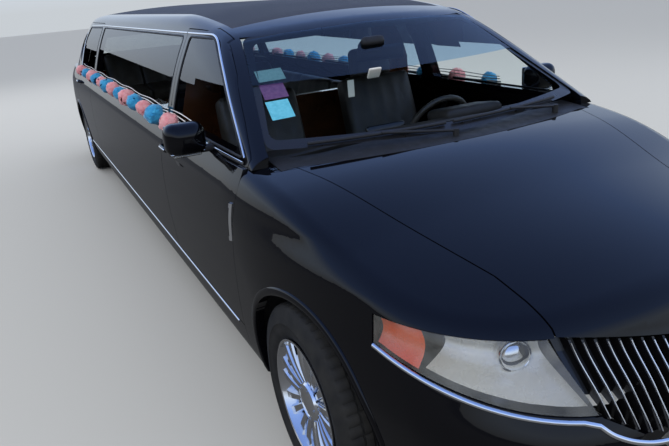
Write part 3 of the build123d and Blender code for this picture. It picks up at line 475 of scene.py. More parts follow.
def add_piece(name, look, body, *parts, replaces=()):
    """One mesh piece of several parts, which rides on a body."""
    verts, faces = [], []
    for part_verts, part_faces in parts:
        base = len(verts)
        verts += [tuple(v) for v in part_verts]
        faces += [[i + base for i in f] for f in part_faces]
    mesh = bpy.data.meshes.new(name)
    mesh.from_pydata(verts, [], faces)
    bm = bmesh.new()
    bm.from_mesh(mesh)
    bmesh.ops.remove_doubles(bm, verts=bm.verts, dist=1e-6)
    bmesh.ops.recalc_face_normals(bm, faces=bm.faces)
    for face in bm.faces:
        face.smooth = True
    for edge in bm.edges:
        if len(edge.link_faces) == 2 and edge.calc_face_angle(0) > SHARP:
            edge.smooth = False
    bm.to_mesh(mesh)
    bm.free()
    mesh.materials.append(look)
    return ride_on(name, mesh, body, replaces)


def ride_on(name, mesh, body, replaces):
    """Puts a mesh in the scene, on a body and in the place of CAD nodes."""
    piece = bpy.data.objects.new(name, mesh)
    bpy.context.scene.collection.objects.link(piece)
    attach(piece, body)
    if replaces:
        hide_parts(*replaces)
    return piece


def rider(body, side):
    """The name of a body that has a left and a right, or of the root."""
    return body if body == "root" else f"{body}_{side}"


def lattice(rows, columns, ring=False, closed=False):
    """Faces over rows of points. A ring joins the last row to the first, closed rows their own ends."""
    faces = []
    for i in range(rows if ring else rows - 1):
        j = (i + 1) % rows
        for k in range(columns if closed else columns - 1):
            m = (k + 1) % columns
            faces.append((i * columns + k, i * columns + m, j * columns + m, j * columns + k))
    return faces


def bar(path, ups, section, closed=False):
    """A bar of one section along a path. Section points are (across, up)."""
    path = np.array(path, dtype=float)
    ahead = np.roll(path, -1, 0) - np.roll(path, 1, 0) if closed else np.gradient(path, axis=0)
    ahead = unit(ahead)
    across = unit(np.cross(ahead, np.broadcast_to(ups, path.shape)))
    up = np.cross(across, ahead)
    section = np.array(section, dtype=float)
    verts = path[:, None] + across[:, None] * section[None, :, :1] + up[:, None] * section[None, :, 1:]
    count, around = len(path), len(section)
    faces = lattice(count, around, closed, True)
    if not closed:
        faces += [range(around), range((count - 1) * around, count * around)]
    return verts.reshape(-1, 3), faces


def half_round(width, height, sink=0.001, steps=6):
    """A flat foot with an arched top."""
    arc = [(-width / 2 * cos(pi * k / steps), height * sin(pi * k / steps)) for k in range(steps + 1)]
    return [(-width / 2, -sink), *arc, (width / 2, -sink)]


def oval(half_width, half_height, steps=12):
    """An oval section."""
    return [(half_width * cos(a), half_height * sin(a)) for a in np.linspace(0, 2 * pi, steps, False)]


def side_bar(outline, side, name, section, inset=0.0, radius=0.0, step=0.03, closed=False):
    """A bar on a flank, along a line of a side view."""
    return bar(*on_side(soften(outline, radius, step, closed), side, name, inset), section, closed)


def end_bar(outline, section, inset=0.0, step=0.03, rear=False):
    """A bar on the nose or tail, along a line of a front or rear view."""
    return bar(*on_end(soften(outline, step=step), "body", inset, rear), section)


def tube(points, radius, steps=10):
    """A round bar through points."""
    ahead = np.array(points[-1]) - np.array(points[0])
    up = (0, 0, 1) if abs(ahead[2]) < 0.9 * np.linalg.norm(ahead) else (0, 1, 0)
    return bar(points, up, oval(radius, radius, steps))


def turned(profile, centre, axis, steps=48):
    """A turned shape: profile points are (radius, distance along the axis)."""
    axis = Vector(axis).normalized()
    side = axis.orthogonal().normalized()
    other = axis.cross(side)
    verts = []
    for i in range(steps):
        angle = 2 * pi * i / steps
        out = side * cos(angle) + other * sin(angle)
        verts += [tuple(Vector(centre) + out * r + axis * d) for r, d in profile]
    return verts, lattice(steps, len(profile), ring=True)


def rounded_block(size, corner, cuts=8):
    """A block with rounded edges round the origin."""
    bm = bmesh.new()
    bmesh.ops.create_cube(bm, size=2)
    bmesh.ops.subdivide_edges(bm, edges=bm.edges, cuts=cuts, use_grid_fill=True)
    verts = np.array([v.co for v in bm.verts])
    faces = [[v.index for v in f.verts] for f in bm.faces]
    bm.free()
    half = np.array(size) / 2
    scaled = np.sin(verts * pi / 2) * half
    inner = np.clip(scaled, -(half - corner), half - corner)
    out = scaled - inner
    return inner + unit(out) * corner * (np.linalg.norm(out, axis=1, keepdims=True) > 1e-9), faces


def placed(part, centre, turn=(0, 0, 0)):
    """Moves a part: turned about X, Y and Z in degrees, then shifted."""
    matrix = Matrix.Identity(3)
    for degrees, axis in zip(turn[::-1], "ZYX"):
        matrix = matrix @ Matrix.Rotation(radians(degrees), 3, axis)
    return np.array(part[0]) @ np.array(matrix).T + np.array(centre), part[1]


def block(size, corner, cuts, centre, turn=(0, 0, 0)):
    """A rounded block in its place."""
    return placed(rounded_block(size, corner, cuts), centre, turn)


# Panels: copies of the CAD panels whose outer skin is smooth
BODY_OF = {n: body for body, members in frame["record"]["behaviour"]["bodies"].items() for n in members}


def divide(bm, tag, names, limit):
    """Halves the skin's long edges, more finely near a rounded edge."""
    rounded = [FIELDS[name] for name in names if FIELDS[name][1]]
    for _ in range(12):
        edges = [e for e in bm.edges if any(f[tag] for f in e.link_faces)]
        middles = np.array([(e.verts[0].co + e.verts[1].co) / 2 for e in edges])
        lengths = np.array([e.calc_length() for e in edges])
        limits = np.full(len(edges), limit)
        for plain, soft, fine in rounded:
            near = [np.abs(outside(surface, middles)) < soft for surface in plain]
            limits[np.all(near, axis=0)] = fine
        chosen = [e for e, long in zip(edges, lengths > limits) if long]
        if not chosen:
            return
        bmesh.ops.subdivide_edges(bm, edges=chosen, cuts=1)
        bmesh.ops.triangulate(bm, faces=[f for f in bm.faces if len(f.verts) > 3])


def tag_skin(bm, tag, names, inset):
    """Marks the faces of a CAD panel that lie on a field and face out of it."""
    points = np.array([v.co for v in bm.verts])
    faces = list(bm.faces)
    centres = np.array([f.calc_center_median() for f in faces])
    outward = np.array([f.normal for f in faces])
    for k, name in enumerate(names):
        hits = [np.abs(outside(p, points, inset, linear)) < TOLERANCE[p] for p in FIELDS[name][0]]
        on = np.any(hits, axis=0)
        facing = (unit(gradient(name, centres, inset)) * outward).sum(axis=1) > 0.5
        for face, good in zip(faces, facing):
            if good and not face[tag] and all(on[v.index] for v in face.verts):
                face[tag] = k + 1


def drawn_on(bm, tag, names, inset):
    """The panel's points, with those of its skin drawn onto their fields."""
    points = np.array([v.co for v in bm.verts])
    shift = np.zeros_like(points)
    count = np.zeros(len(points))
    for k, name in enumerate(names):
        ids = sorted({v.index for f in bm.faces if f[tag] == k + 1 for v in f.verts})
        if not ids:
            continue
        here = points[ids]
        for _ in range(4):
            slope = gradient(name, here, inset)
            value = field(name, here, inset)
            here = here - slope * (value / np.maximum((slope**2).sum(axis=1), 1e-6))[:, None]
        step = here - points[ids]
        step[np.linalg.norm(step, axis=1) > 0.06] = 0
        shift[ids] += step
        count[ids] += 1
    return points + shift / np.maximum(count, 1)[:, None]


def refine(node, *names, inset=0.0, limit=0.06, look=None, rest_look=None):
    """Replaces a CAD panel by a copy whose outer skin lies on smooth fields and is shaded by their slopes."""
    source = nodes[node]
    bm = bmesh.new()
    bm.from_mesh(source.data)
    bmesh.ops.remove_doubles(bm, verts=bm.verts, dist=1e-5)
    bmesh.ops.triangulate(bm, faces=bm.faces)
    tag = bm.faces.layers.int.new("skin")
    bm.verts.ensure_lookup_table()
    tag_skin(bm, tag, names, inset)
    divide(bm, tag, names, limit)
    bm.verts.ensure_lookup_table()
    bm.verts.index_update()
    moved = drawn_on(bm, tag, names, inset)
    for v, co in zip(bm.verts, moved):
        v.co = co
    slopes = [unit(gradient(name, moved, inset)) for name in names]
    mesh = bpy.data.meshes.new(node + "_skin")
    tags = [f[tag] for f in bm.faces]
    bm.to_mesh(mesh)
    bm.free()
    loop_normals = []
    for poly, kind in zip(mesh.polygons, tags):
        for vi in poly.vertices:
            loop_normals.append(tuple(slopes[kind - 1][vi]) if kind else tuple(poly.normal))
        poly.use_smooth = True
    mesh.normals_split_custom_set(loop_normals)
    mesh.materials.append(look or source.data.materials[0])
    if rest_look:
        mesh.materials.append(rest_look)
        mesh.polygons.foreach_set("material_index", [0 if kind else 1 for kind in tags])
    ride_on(mesh.name, mesh, BODY_OF.get(node, "root"), [node])


for node in ("hood", "front_wings", "front_bumper", "scuttle"):
    refine(node, "lower", limit=0.03)
for node in ["rear_bumper", "tail_lamps", "liftgate_lamp"] + both("body_side"):
    refine(node, "body")
for node in ["liftgate"] + both("front_door", "rear_door"):
    refine(node, "body", "upper")
for node in ["roof", "roof_header"] + both("side_frame"):
    refine(node, "upper")
for node in ["windscreen", "fixed_side_glass", "liftgate_glass"] + both("front_glass", "rear_glass"):
    refine(node, "glass", inset=GLASS_SUNK, rest_look=PANE_BACK)
refine("headlamps", "lower", inset=LAMP_SUNK, look=LENS, rest_look=GLOSS_PLASTIC)


# Outlines in side view (station, height) and front view (across, height)
FRONT_WINDOW = [(1.51, 1.168), (1.67, 1.266), (1.931, 1.424), (2.225, 1.58), (2.64, 1.58), (2.64, 1.168)]
FRONT_BRIGHT = [(1.492, 1.17), (1.662, 1.28), (1.926, 1.44), (2.218, 1.597), (2.694, 1.597)]
STRETCH_WINDOW = [(2.76, 1.168), (2.76, 1.58), (5.688, 1.58), (5.688, 1.168)]
STRETCH_BRIGHT = [(2.708, 1.597), (5.74, 1.597)]
REAR_WINDOW = [(5.808, 1.168), (5.808, 1.58), (6.64, 1.57), (6.765, 1.47), (6.765, 1.19), (6.6, 1.168)]
REAR_BRIGHT = [(5.756, 1.597), (6.65, 1.586), (6.782, 1.478), (6.782, 1.19)]
QUARTER_WINDOW = [(6.885, 1.23), (6.885, 1.5), (7.05, 1.47), (7.29, 1.37)]
QUARTER_BRIGHT = [(6.868, 1.512), (7.056, 1.486), (7.308, 1.38)]
SCREEN = [(0.794, 1.196), (0.616, 1.576), (0.0, 1.595), (-0.616, 1.576), (-0.794, 1.196), (0.0, 1.172)]
GATE_WINDOW = [(0.59, 1.19), (0.492, 1.446), (0.0, 1.484), (-0.492, 1.446), (-0.59, 1.19)]
CHROME_LINE = half_round(0.011, 0.004)
SEAL_LINE = half_round(0.012, 0.005)

# Seals round the side glass, and the bright line over it: name, body, outline, corner radius, bright line
WINDOWS = (
    ("front_window", "front_door", FRONT_WINDOW, 0.03, FRONT_BRIGHT),
    ("stretch_window", "root", STRETCH_WINDOW, 0.03, STRETCH_BRIGHT),
    ("rear_window", "rear_door", REAR_WINDOW, 0.03, REAR_BRIGHT),
    ("quarter_window", "root", QUARTER_WINDOW, 0.015, QUARTER_BRIGHT),
)
BELT_LINES = (("front_door", 1.5, 2.694), ("root", 2.708, 5.74), ("rear_door", 5.756, 6.78))
BELT_HEIGHT = 1.152
for side, way in SIDES:
    for name, body, outline, radius, bright in WINDOWS:
        rides = rider(body, side)
        seal = side_bar(outline, way, "glass", SEAL_LINE, 0.003, radius, closed=True)
        add_piece(f"{name}_seal_{side}", PLASTIC, rides, seal)
        line = side_bar(bright, way, "glass", CHROME_LINE, 0.0, 0.08)
        add_piece(f"{name}_bright_{side}", CHROME, rides, line)
    for number, (body, first, last) in enumerate(BELT_LINES):
        line = side_bar([(first, BELT_HEIGHT), (last, BELT_HEIGHT)], way, "glass", CHROME_LINE)
        add_piece(f"belt_bright_{number}_{side}", CHROME, rider(body, side), line)

# Bright strip along the rocker, flares round the wheel arches
LIP_RADIUS = 0.424
LIP_ANGLES = np.radians(np.linspace(-12, 192, 60))
for side, way in SIDES:
    strip = side_bar([(1.64, 0.414), (6.56, 0.414)], way, "body", half_round(0.014, 0.005))
    add_piece(f"rocker_bright_{side}", CHROME, "root", strip)
    for end, axle in (("front", FRONT_AXLE), ("rear", REAR_AXLE)):
        ring = np.stack([np.cos(LIP_ANGLES), np.sin(LIP_ANGLES)], axis=1) * LIP_RADIUS + (axle, TYRE_RADIUS)
        lip = bar(*on_side(ring, way, "body"), half_round(0.032, 0.007, 0.003))
        add_piece(f"arch_lip_{end}_{side}", PAINT, "root", lip)

# Bright bar without a name, on each front door behind the wheel
for side, way in SIDES:
    plain_bar = side_bar([(1.497, 0.853), (1.484, 1.008)], way, "body", half_round(0.022, 0.009), step=0.008)
    inlay_ends = [(1.495, 0.872), (1.486, 0.99)]
    inlay = side_bar(inlay_ends, way, "body", half_round(0.008, 0.0025), -0.0075, step=0.008)
    add_piece(f"door_badge_{side}", CHROME, f"front_door_{side}", plain_bar)
    add_piece(f"door_badge_inlay_{side}", GLOSS_PLASTIC, f"front_door_{side}", inlay)

# Door handles: body, first and last station, height
HANDLES = (("front_door", 2.46, 2.63, 1.035), ("rear_door", 6.5, 6.67, 1.045))
HANDLE_BOW = 0.034
for side, way in SIDES:
    for body, first, last, height in HANDLES:
        path, ups = on_side(soften([(first, height), (last, height)], step=0.008), way, "body")
        share = np.linspace(0, 1, len(path))[:, None]
        lift = HANDLE_BOW * (1 - (2 * share - 1) ** 6) - 0.004
        grip = bar(path + ups * lift, ups, oval(0.013, 0.008))
        add_piece(f"{body}_handle_{side}", PAINT, f"{body}_{side}", grip)
        bright = bar((path + ups * (lift + 0.0075))[3:-3], ups[3:-3], half_round(0.009, 0.002))
        add_piece(f"{body}_handle_bright_{side}", CHROME, f"{body}_{side}", bright)
        cup_ends = [(first + 0.02, height - 0.004), (last - 0.02, height - 0.004)]
        cup = side_bar(cup_ends, way, "body", half_round(0.05, 0.0012), step=0.01)
        add_piece(f"{body}_handle_cup_{side}", GLOSS_PLASTIC, f"{body}_{side}", cup)

# Headlamps: bright strip below, bowl, marker and projector
LAMP_STRIP = [(0.587, 0.781), (0.44, 0.742), (0.24, 0.69), (0.12, 0.662)]
GRILLE_STRIP = [(0.455, 0.65), (0.432, 0.626), (0.39, 0.603), (0.33, 0.584), (0.06, 0.562)]
LAMP_LOW = np.array([(0.125, 0.675), (0.442, 0.751)])
LAMP_HIGH = np.array([(0.222, 0.846), (0.462, 0.862)])
MARKER_LOW = np.array([(0.446, 0.753), (0.584, 0.789)])
MARKER_HIGH = np.array([(0.466, 0.862), (0.588, 0.868)])
PROJECTOR_AT = (0.3, 0.796)
PROJECTOR_RADIUS = 0.043


def lamp_sheet(low, high, depth, dip, side, across):
    """A hollow sheet inside the lamp, between a low and a high line of its side view."""
    rows = []
    for share in np.linspace(0, 1, across):
        line = low * (1 - share) + high * share
        path, _ = on_side(soften(line, 0.02, step=0.02), side, "body", depth + dip * sin(pi * share))
        rows.append(path)
    count = min(len(r) for r in rows)
    verts = np.concatenate([r[np.linspace(0, len(r) - 1, count).astype(int)] for r in rows])
    return verts, lattice(across, count)


for side, way in SIDES:
    lamp_path, lamp_ups = on_side(soften(LAMP_STRIP, 0.05, 0.02), way, "body")
    grille_line = soften([(way * x, z) for x, z in GRILLE_STRIP], 0.03, 0.015)
    grille_path, grille_ups = on_end(grille_line, "body")
    path = np.concatenate([lamp_path, grille_path])
    ups = np.concatenate([lamp_ups, grille_ups])
    add_piece(f"lamp_bright_{side}", CHROME, "root", bar(path, ups, half_round(0.016, 0.007)))
    bowl = lamp_sheet(LAMP_LOW, LAMP_HIGH, 0.03, 0.05, way, 12)
    add_piece(f"lamp_bowl_{side}", REFLECTOR, "root", bowl)
    marker = lamp_sheet(MARKER_LOW, MARKER_HIGH, 0.014, 0.014, way, 10)
    add_piece(f"lamp_marker_{side}", AMBER, "root", marker)
    spot = on_side([PROJECTOR_AT], way, "body", 0.05)[0][0]
    aim = Vector((way * 0.25, -0.95, 0.02))
    edge = [(0.0, -0.03), (0.006, -0.002), (0.004, 0.004), (-0.002, 0.0)]
    ring = [(PROJECTOR_RADIUS + out, along) for out, along in edge]
    angles = np.linspace(pi / 2, 0.0, 10)
    dome = [(PROJECTOR_RADIUS * sin(a), PROJECTOR_RADIUS * 0.55 * cos(a)) for a in angles]
    add_piece(f"lamp_ring_0_{side}", CHROME, "root", turned(ring, spot, aim))
    add_piece(f"lamp_projector_0_{side}", MIRROR, "root", turned(dome, spot, aim))

# Bright edges of the grille's slats: fanned lines up each wing
SLAT_FIRST = 0.03
SLAT_PITCH = 0.03
SLAT_FAN = 0.17
SLAT_COUNT = 13
SLAT_LOW = 0.575
SLAT_HIGH = 0.848
SLAT_GAP = 0.006
for side, way in SIDES:
    lines = []
    for i in range(SLAT_COUNT + 1):
        heights = np.linspace(SLAT_LOW, SLAT_HIGH, 60)
        across = SLAT_FIRST + SLAT_PITCH * (i + 0.5) + SLAT_FAN * i / SLAT_COUNT * (heights - SLAT_LOW)
        low = np.interp(across, (0.03, 0.33, 0.44, 0.478), (0.575, 0.6, 0.664, 0.848)) + SLAT_GAP
        high = np.interp(across, (0.03, 0.478), (0.78, 0.848)) - SLAT_GAP
        keep = (heights > low) & (heights < high)
        if keep.sum() < 4:
            continue
        edge = np.stack([way * across[keep], heights[keep]], axis=1)
        lines.append(bar(*on_end(edge, "body", 0.008), half_round(0.0048, 0.004)))
    add_piece(f"grille_slat_edges_{side}", CHROME, "root", *lines)
centre = end_bar([(0.0, 0.572), (0.0, 0.768)], half_round(0.04, 0.008), 0.001, 0.01)
add_piece("grille_centre_bright", CHROME, "root", centre)

# Mirrors: housing, glass at its rear, turn-signal strip below
MIRROR_X = 0.995
MIRROR_STATION = 1.88
MIRROR_Z = 1.205
MIRROR_SIZE = (0.176, 0.12, 0.142)
# Name, look, size, rounding, cuts, place outward, rearward and up from the housing's middle
MIRROR_BLOCKS = (
    ("arm", PLASTIC, (0.09, 0.052, 0.03), 0.012, 5, (-0.08, 0.0, -0.053)),
    ("glass", MIRROR, (0.146, 0.006, 0.112), 0.0028, 6, (0.0, 0.0595, 0.0)),
    ("signal", LENS, (0.12, 0.014, 0.01), 0.0045, 6, (0.005, -0.036, -0.064)),
    ("bright", CHROME, (0.15, 0.02, 0.006), 0.0028, 6, (0.0, -0.022, -0.0545)),
)
for side, way in SIDES:
    body = f"front_door_{side}"
    verts, faces = rounded_block(MIRROR_SIZE, 0.044, 12)
    bulge = 1 - 0.28 * np.clip(-verts[:, 1] / (MIRROR_SIZE[1] / 2), 0, 1) ** 2
    verts[:, 0] *= bulge
    verts[:, 2] = verts[:, 2] * bulge + 0.025 * verts[:, 0]
    verts[:, 0] *= way

    housing = placed((verts, faces), (way * MIRROR_X, sy(MIRROR_STATION), MIRROR_Z))
    add_piece(f"mirror_housing_{side}", PAINT, body, housing, replaces=[f"mirror_{side}"])
    for name, look, size, corner, cuts, (out, behind, up) in MIRROR_BLOCKS:
        middle = (way * (MIRROR_X + out), sy(MIRROR_STATION) + behind, MIRROR_Z + up)
        add_piece(f"mirror_{name}_{side}", look, body, block(size, corner, cuts, middle))


# Wheels: profiles of the tyre are (across, depth), those of turned parts (radius, outward)
TREAD = [(0.0, 0.0), (0.012, 0.0), (0.012, 0.008), (0.02, 0.008), (0.02, 0.0)]
TREAD += [(0.046, 0.0), (0.046, 0.008), (0.054, 0.008), (0.054, 0.0)]
SIDEWALL = [(0.0785, 0.0), (0.0935, 0.0045), (0.1035, 0.016), (0.1125, 0.045), (0.116, 0.064)]
SIDEWALL += [(0.1165, 0.068), (0.114, 0.071), (0.112, 0.09), (0.106, 0.112), (0.099, 0.124), (0.0945, 0.133)]
BLOCKS = 60


def tyre_part():
    """A tyre round the X axis: grooved tread with cross cuts, rounded shoulders and ribbed sidewalls."""
    half = TREAD + SIDEWALL
    profile = [(-w, d) for w, d in reversed(half[1:])] + half
    steps = BLOCKS * 4
    verts = []
    for i in range(steps):
        angle = 2 * pi * i / steps
        cut = 0.006 if i % 4 == 0 else 0.0
        for w, depth in profile:
            shoulder = 0.052 < abs(w) < 0.1
            middle = 0.018 < abs(w) < 0.048 and i % 8 == 0
            extra = cut if (shoulder or middle) and depth < 0.02 else 0
            r = TYRE_RADIUS - 0.0005 - max(depth, depth * 0.2 + extra)
            verts.append((w, r * cos(angle), r * sin(angle)))
    return verts, lattice(steps, len(profile), True, True)


BARREL = [(0.212, -0.1), (0.232, -0.104), (0.238, -0.104), (0.238, -0.097), (0.222, -0.09), (0.216, -0.04)]
BARREL += [(0.214, 0.06), (0.226, 0.092), (0.237, 0.098), (0.241, 0.103), (0.241, 0.1075), (0.236, 0.109)]
BARREL += [(0.231, 0.106), (0.226, 0.094), (0.214, 0.074), (0.207, 0.06), (0.207, -0.096), (0.212, -0.1)]
HUB = [(0.0, 0.03), (0.06, 0.03), (0.078, 0.036), (0.086, 0.048), (0.086, 0.06), (0.078, 0.067)]
HUB += [(0.05, 0.069), (0.0, 0.069)]
CAP = [(0.074, 0.06), (0.074, 0.083), (0.068, 0.091), (0.052, 0.094), (0.049, 0.091), (0.03, 0.093)]
CAP += [(0.0, 0.095)]
DISC = [(0.08, -0.006), (0.165, -0.006), (0.166, 0.001), (0.165, 0.008), (0.08, 0.008)]
NUT = [(0.0, 0.004), (0.004, 0.0035), (0.0055, 0.001), (0.0055, -0.004)]
NUT_CIRCLE = 0.06
NUTS = 5
SPOKES = 9
SPOKE_STEPS = 12
SPOKE_SECTION = [(-1, -0.03), (1, -0.03), (1, -0.007), (0.7, 0.0), (-0.7, 0.0), (-1, -0.007)]
SPOKE_FOOT = 0.062
SPOKE_END = 0.222


def spoke_part(lean):
    """Half of a split spoke: a bar that widens from the hub to the rim, with a rounded face."""
    share = np.linspace(0, 1, SPOKE_STEPS)
    rise = 0.078 + 0.012 * share + 0.006 * np.sin(pi * share)
    shift = lean * (0.013 + 0.0205 * share**1.1)
    path = np.stack([rise, shift, SPOKE_FOOT + share * (SPOKE_END - SPOKE_FOOT)], axis=1)
    widths = (0.0105 + 0.0095 * share)[:, None, None]
    verts, faces = bar(path, (1, 0, 0), SPOKE_SECTION)
    verts = verts.reshape(SPOKE_STEPS, len(SPOKE_SECTION), 3)
    middle = path[:, None, 1:]
    verts[:, :, 1:] = middle + (verts[:, :, 1:] - middle) * widths
    return verts.reshape(-1, 3), faces


ORIGIN = (0, 0, 0)
X_AXIS = (1, 0, 0)
TYRE = tyre_part()
RIM_PARTS = [turned(BARREL, ORIGIN, X_AXIS, 72), turned(HUB, ORIGIN, X_AXIS)]
for i in range(SPOKES):
    RIM_PARTS += [placed(spoke_part(lean), ORIGIN, (360 * i / SPOKES, 0, 0)) for lean in (1, -1)]
NUT_PARTS = []
for i in range(NUTS):
    a = 2 * pi * i / NUTS
    NUT_PARTS.append(turned(NUT, (0.092, NUT_CIRCLE * cos(a), NUT_CIRCLE * sin(a)), X_AXIS, 6))
WHEEL_PIECES = (
    ("tyre_tread", RUBBER, [TYRE], "tyre"),
    ("rim_bright", RIM, RIM_PARTS, "rim"),
    ("rim_cap", CHROME, [turned(CAP, ORIGIN, X_AXIS, 40)], None),
    ("rim_nuts", STEEL, NUT_PARTS, None),
    ("brake_disc", STEEL, [turned(DISC, ORIGIN, X_AXIS, 60)], None),
)
for corner, way, axle in CORNERS:
    here = (way * WHEEL_PLANE, sy(axle), TYRE_RADIUS)
    turn = (0, 0, 0) if way > 0 else (0, 0, 180)
    for name, look, parts, node in WHEEL_PIECES:
        gone = [f"{node}_{corner}"] if node else []
        moved = [placed(part, here, turn) for part in parts]
        add_piece(f"{name}_{corner}", look, f"wheel_{corner}", *moved, replaces=gone)


# Windscreen: dark border, stickers without words, sensor housing, mirror, toll tag and hanging card
for name, outline, middle, shrink, body, rear in (
    ("windscreen_border", SCREEN, 1.385, (0.955, 0.86), "root", False),
    ("liftgate_glass_border", GATE_WINDOW, 1.33, (0.94, 0.84), "liftgate", True),
):
    centre = np.array((0.0, middle))
    from_centre = soften(outline, 0.04, 0.02, True) - centre
    edges = [on_end(centre + from_centre * k, "glass", GLASS_INSIDE, rear)[0] for k in (0.998, shrink)]
    add_piece(name, FRIT, body, (np.concatenate(edges), lattice(2, len(from_centre), closed=True)))

STICKERS = (
    ("sticker_pale", PAPER_PALE, [(-0.655, 1.447), (-0.54, 1.452), (-0.548, 1.412), (-0.664, 1.407)]),
    ("sticker_purple", PAPER_PURPLE, [(-0.672, 1.398), (-0.572, 1.402), (-0.584, 1.352), (-0.684, 1.347)]),
    ("sticker_cyan", PAPER_CYAN, [(-0.69, 1.34), (-0.596, 1.345), (-0.61, 1.287), (-0.704, 1.281)]),
)
STICKER_ROWS = 5
STICKER_COLUMNS = 6
for name, look, corners in STICKERS:
    corners = np.array(corners)
    grid = []
    for v in np.linspace(0, 1, STICKER_ROWS):
        for u in np.linspace(0, 1, STICKER_COLUMNS):
            top = corners[0] * (1 - u) + corners[1] * u
            bottom = corners[3] * (1 - u) + corners[2] * u
            grid.append(top * (1 - v) + bottom * v)
    verts, _ = on_end(grid, "glass", GLASS_INSIDE)
    add_piece(name, look, "root", (verts, lattice(STICKER_ROWS, STICKER_COLUMNS)))


def behind_screen(x, z, depth):
    """A place behind the windscreen."""
    return Vector(on_end([(x, z)], "glass", depth)[0][0])


SENSOR_AT = behind_screen(-0.06, 1.5, 0.03)
TAG_AT = behind_screen(-0.166, 1.393, 0.02)
INNER_MIRROR = behind_screen(0, 1.452, 0.14)
INNER_TURN = (8, 0, -6)
MIRROR_FACE = INNER_MIRROR + Vector((0.001, 0.0155, -0.002))
CARD_AT = behind_screen(-0.205, 1.4, 0.16) + Vector((0, 0, -0.085))
for name, look, size, corner, cuts, at, turn in (
    ("screen_sensor", PLASTIC, (0.115, 0.085, 0.045), 0.018, 8, SENSOR_AT, (-35, 0, 0)),
    ("toll_tag", WHITE_PLASTIC, (0.062, 0.052, 0.012), 0.005, 6, TAG_AT, (-58, 0, 0)),
    ("inner_mirror", GLOSS_PLASTIC, (0.245, 0.03, 0.07), 0.014, 10, INNER_MIRROR, INNER_TURN),
    ("inner_mirror_glass", MIRROR, (0.23, 0.004, 0.058), 0.0018, 8, MIRROR_FACE, INNER_TURN),
    ("hanging_card", WHITE_PLASTIC, (0.034, 0.003, 0.078), 0.0014, 5, CARD_AT, (0, 0, 0)),
):
    add_piece(name, look, "root", block(size, corner, cuts, at, turn))
stalk_top = behind_screen(0.0, 1.5, 0.016)
stalk = tube([stalk_top, (stalk_top + INNER_MIRROR) / 2, INNER_MIRROR], 0.007)
add_piece("inner_mirror_stalk", PLASTIC, "root", stalk)


# Seats: crowned cushions with sewn channels
def cushion(size, crown, channels):
    """A stuffed pad round the origin: swollen faces, pulled-in sides and channels across its width."""
    verts, faces = rounded_block(size, 0.035, 22)
    share = verts / (np.array(size) / 2)
    swell = np.clip(1 - share**2, 0, 1)
    verts[:, 2] += np.sign(share[:, 2]) * crown * swell[:, 0] * swell[:, 1] * np.abs(share[:, 2])
    verts[:, 0] *= 1 - 0.03 * (1 - swell[:, 1])
    if channels:
        groove = np.abs(np.sin(pi * (share[:, 0] + 1) / 2 * channels)) ** 0.35
        verts[:, 2] -= np.sign(share[:, 2]) * 0.012 * (1 - groove) * (np.abs(share[:, 0]) < 0.9)
    return verts, faces


def add_cushion(name, size, centre, turn, channels=0, crown=0.02, replaces=()):
    """A padded leather piece in the cabin."""
    pad = placed(cushion(size, crown, channels), centre, turn)
    add_piece(name, LEATHER, "root", pad, replaces=replaces)


BENCH_TILT = 4
BACK_TILT = 72
SEAT_X = 0.385
# Name, size, station, height, tilt, channels
SEAT_PADS = (
    ("seat_cushion", (0.5, 0.5, 0.15), 2.275, 0.712, 5, 5),
    ("seat_back", (0.47, 0.54, 0.13), 2.59, 0.975, BACK_TILT, 5),
    ("seat_head", (0.26, 0.19, 0.09), 2.7, 1.305, 84, 0),
)
for side, way in SIDES:
    x = way * SEAT_X
    for name, size, station, height, tilt, channels in SEAT_PADS:
        gone = ["front_seats"] if name == "seat_cushion" and way > 0 else []
        add_cushion(f"{name}_{side}", size, (x, sy(station), height), (tilt, 0, 0), channels, replaces=gone)
    base = block((0.32, 0.38, 0.21), 0.02, 4, (x, sy(2.33), 0.535))
    add_piece(f"seat_base_{side}", PLASTIC, "root", base)
    posts = [tube([(x + dx, sy(2.665), 1.18), (x + dx, sy(2.69), 1.26)], 0.007) for dx in (-0.06, 0.06)]
    add_piece(f"seat_posts_{side}", CHROME, "root", *posts)

BENCH_CUSHIONS = 4
BENCH_START = 3.25
BENCH_STEP = 0.6
for i in range(BENCH_CUSHIONS):
    y = sy(BENCH_START + BENCH_STEP * (i + 0.5))
    gone = ["lounge_seats"] if i == 0 else []
    width = BENCH_STEP - 0.01
    at = (0.47, y, 0.755)
    add_cushion(f"bench_cushion_{i}", (width, 0.3, 0.13), at, (BENCH_TILT, 0, 90), 4, replaces=gone)
    add_cushion(f"bench_back_{i}", (width, 0.3, 0.09), (0.664, y, 0.925), (BACK_TILT, 0, -90), 4, 0.012)
for i, x in enumerate((-0.395, 0.0, 0.395)):
    at = (x, sy(REAR_AXLE - 0.185), 0.8)
    add_cushion(f"rear_cushion_{i}", (0.39, 0.46, 0.14), at, (BENCH_TILT, 0, 0), 3)
    at = (x, sy(REAR_AXLE + 0.12), 1.03)
    add_cushion(f"rear_back_{i}", (0.39, 0.42, 0.11), at, (BACK_TILT, 0, 0), 3)

# Bench boxes; hood over the instruments and screen: name, look, size, rounding, cuts, place, tilt
for name, look, size, corner, cuts, (x, station, z), tilt in (
    ("bench_base", WOOD, (0.41, 2.39, 0.25), 0.015, 6, (0.555, 4.45, 0.56), 0),
    ("rear_bench_base", WOOD, (1.18, 0.56, 0.2), 0.015, 6, (0, REAR_AXLE - 0.1, 0.65), 0),
    ("dash_cowl", PLASTIC, (0.34, 0.2, 0.07), 0.03, 8, (0.39, 1.76, 1.12), -8),
    ("dash_screen", GLOSS_PLASTIC, (0.22, 0.03, 0.14), 0.012, 6, (0, 1.868, 1.04), -14),
):
    add_piece(name, look, "root", block(size, corner, cuts, (x, sy(station), z), (tilt, 0, 0)))

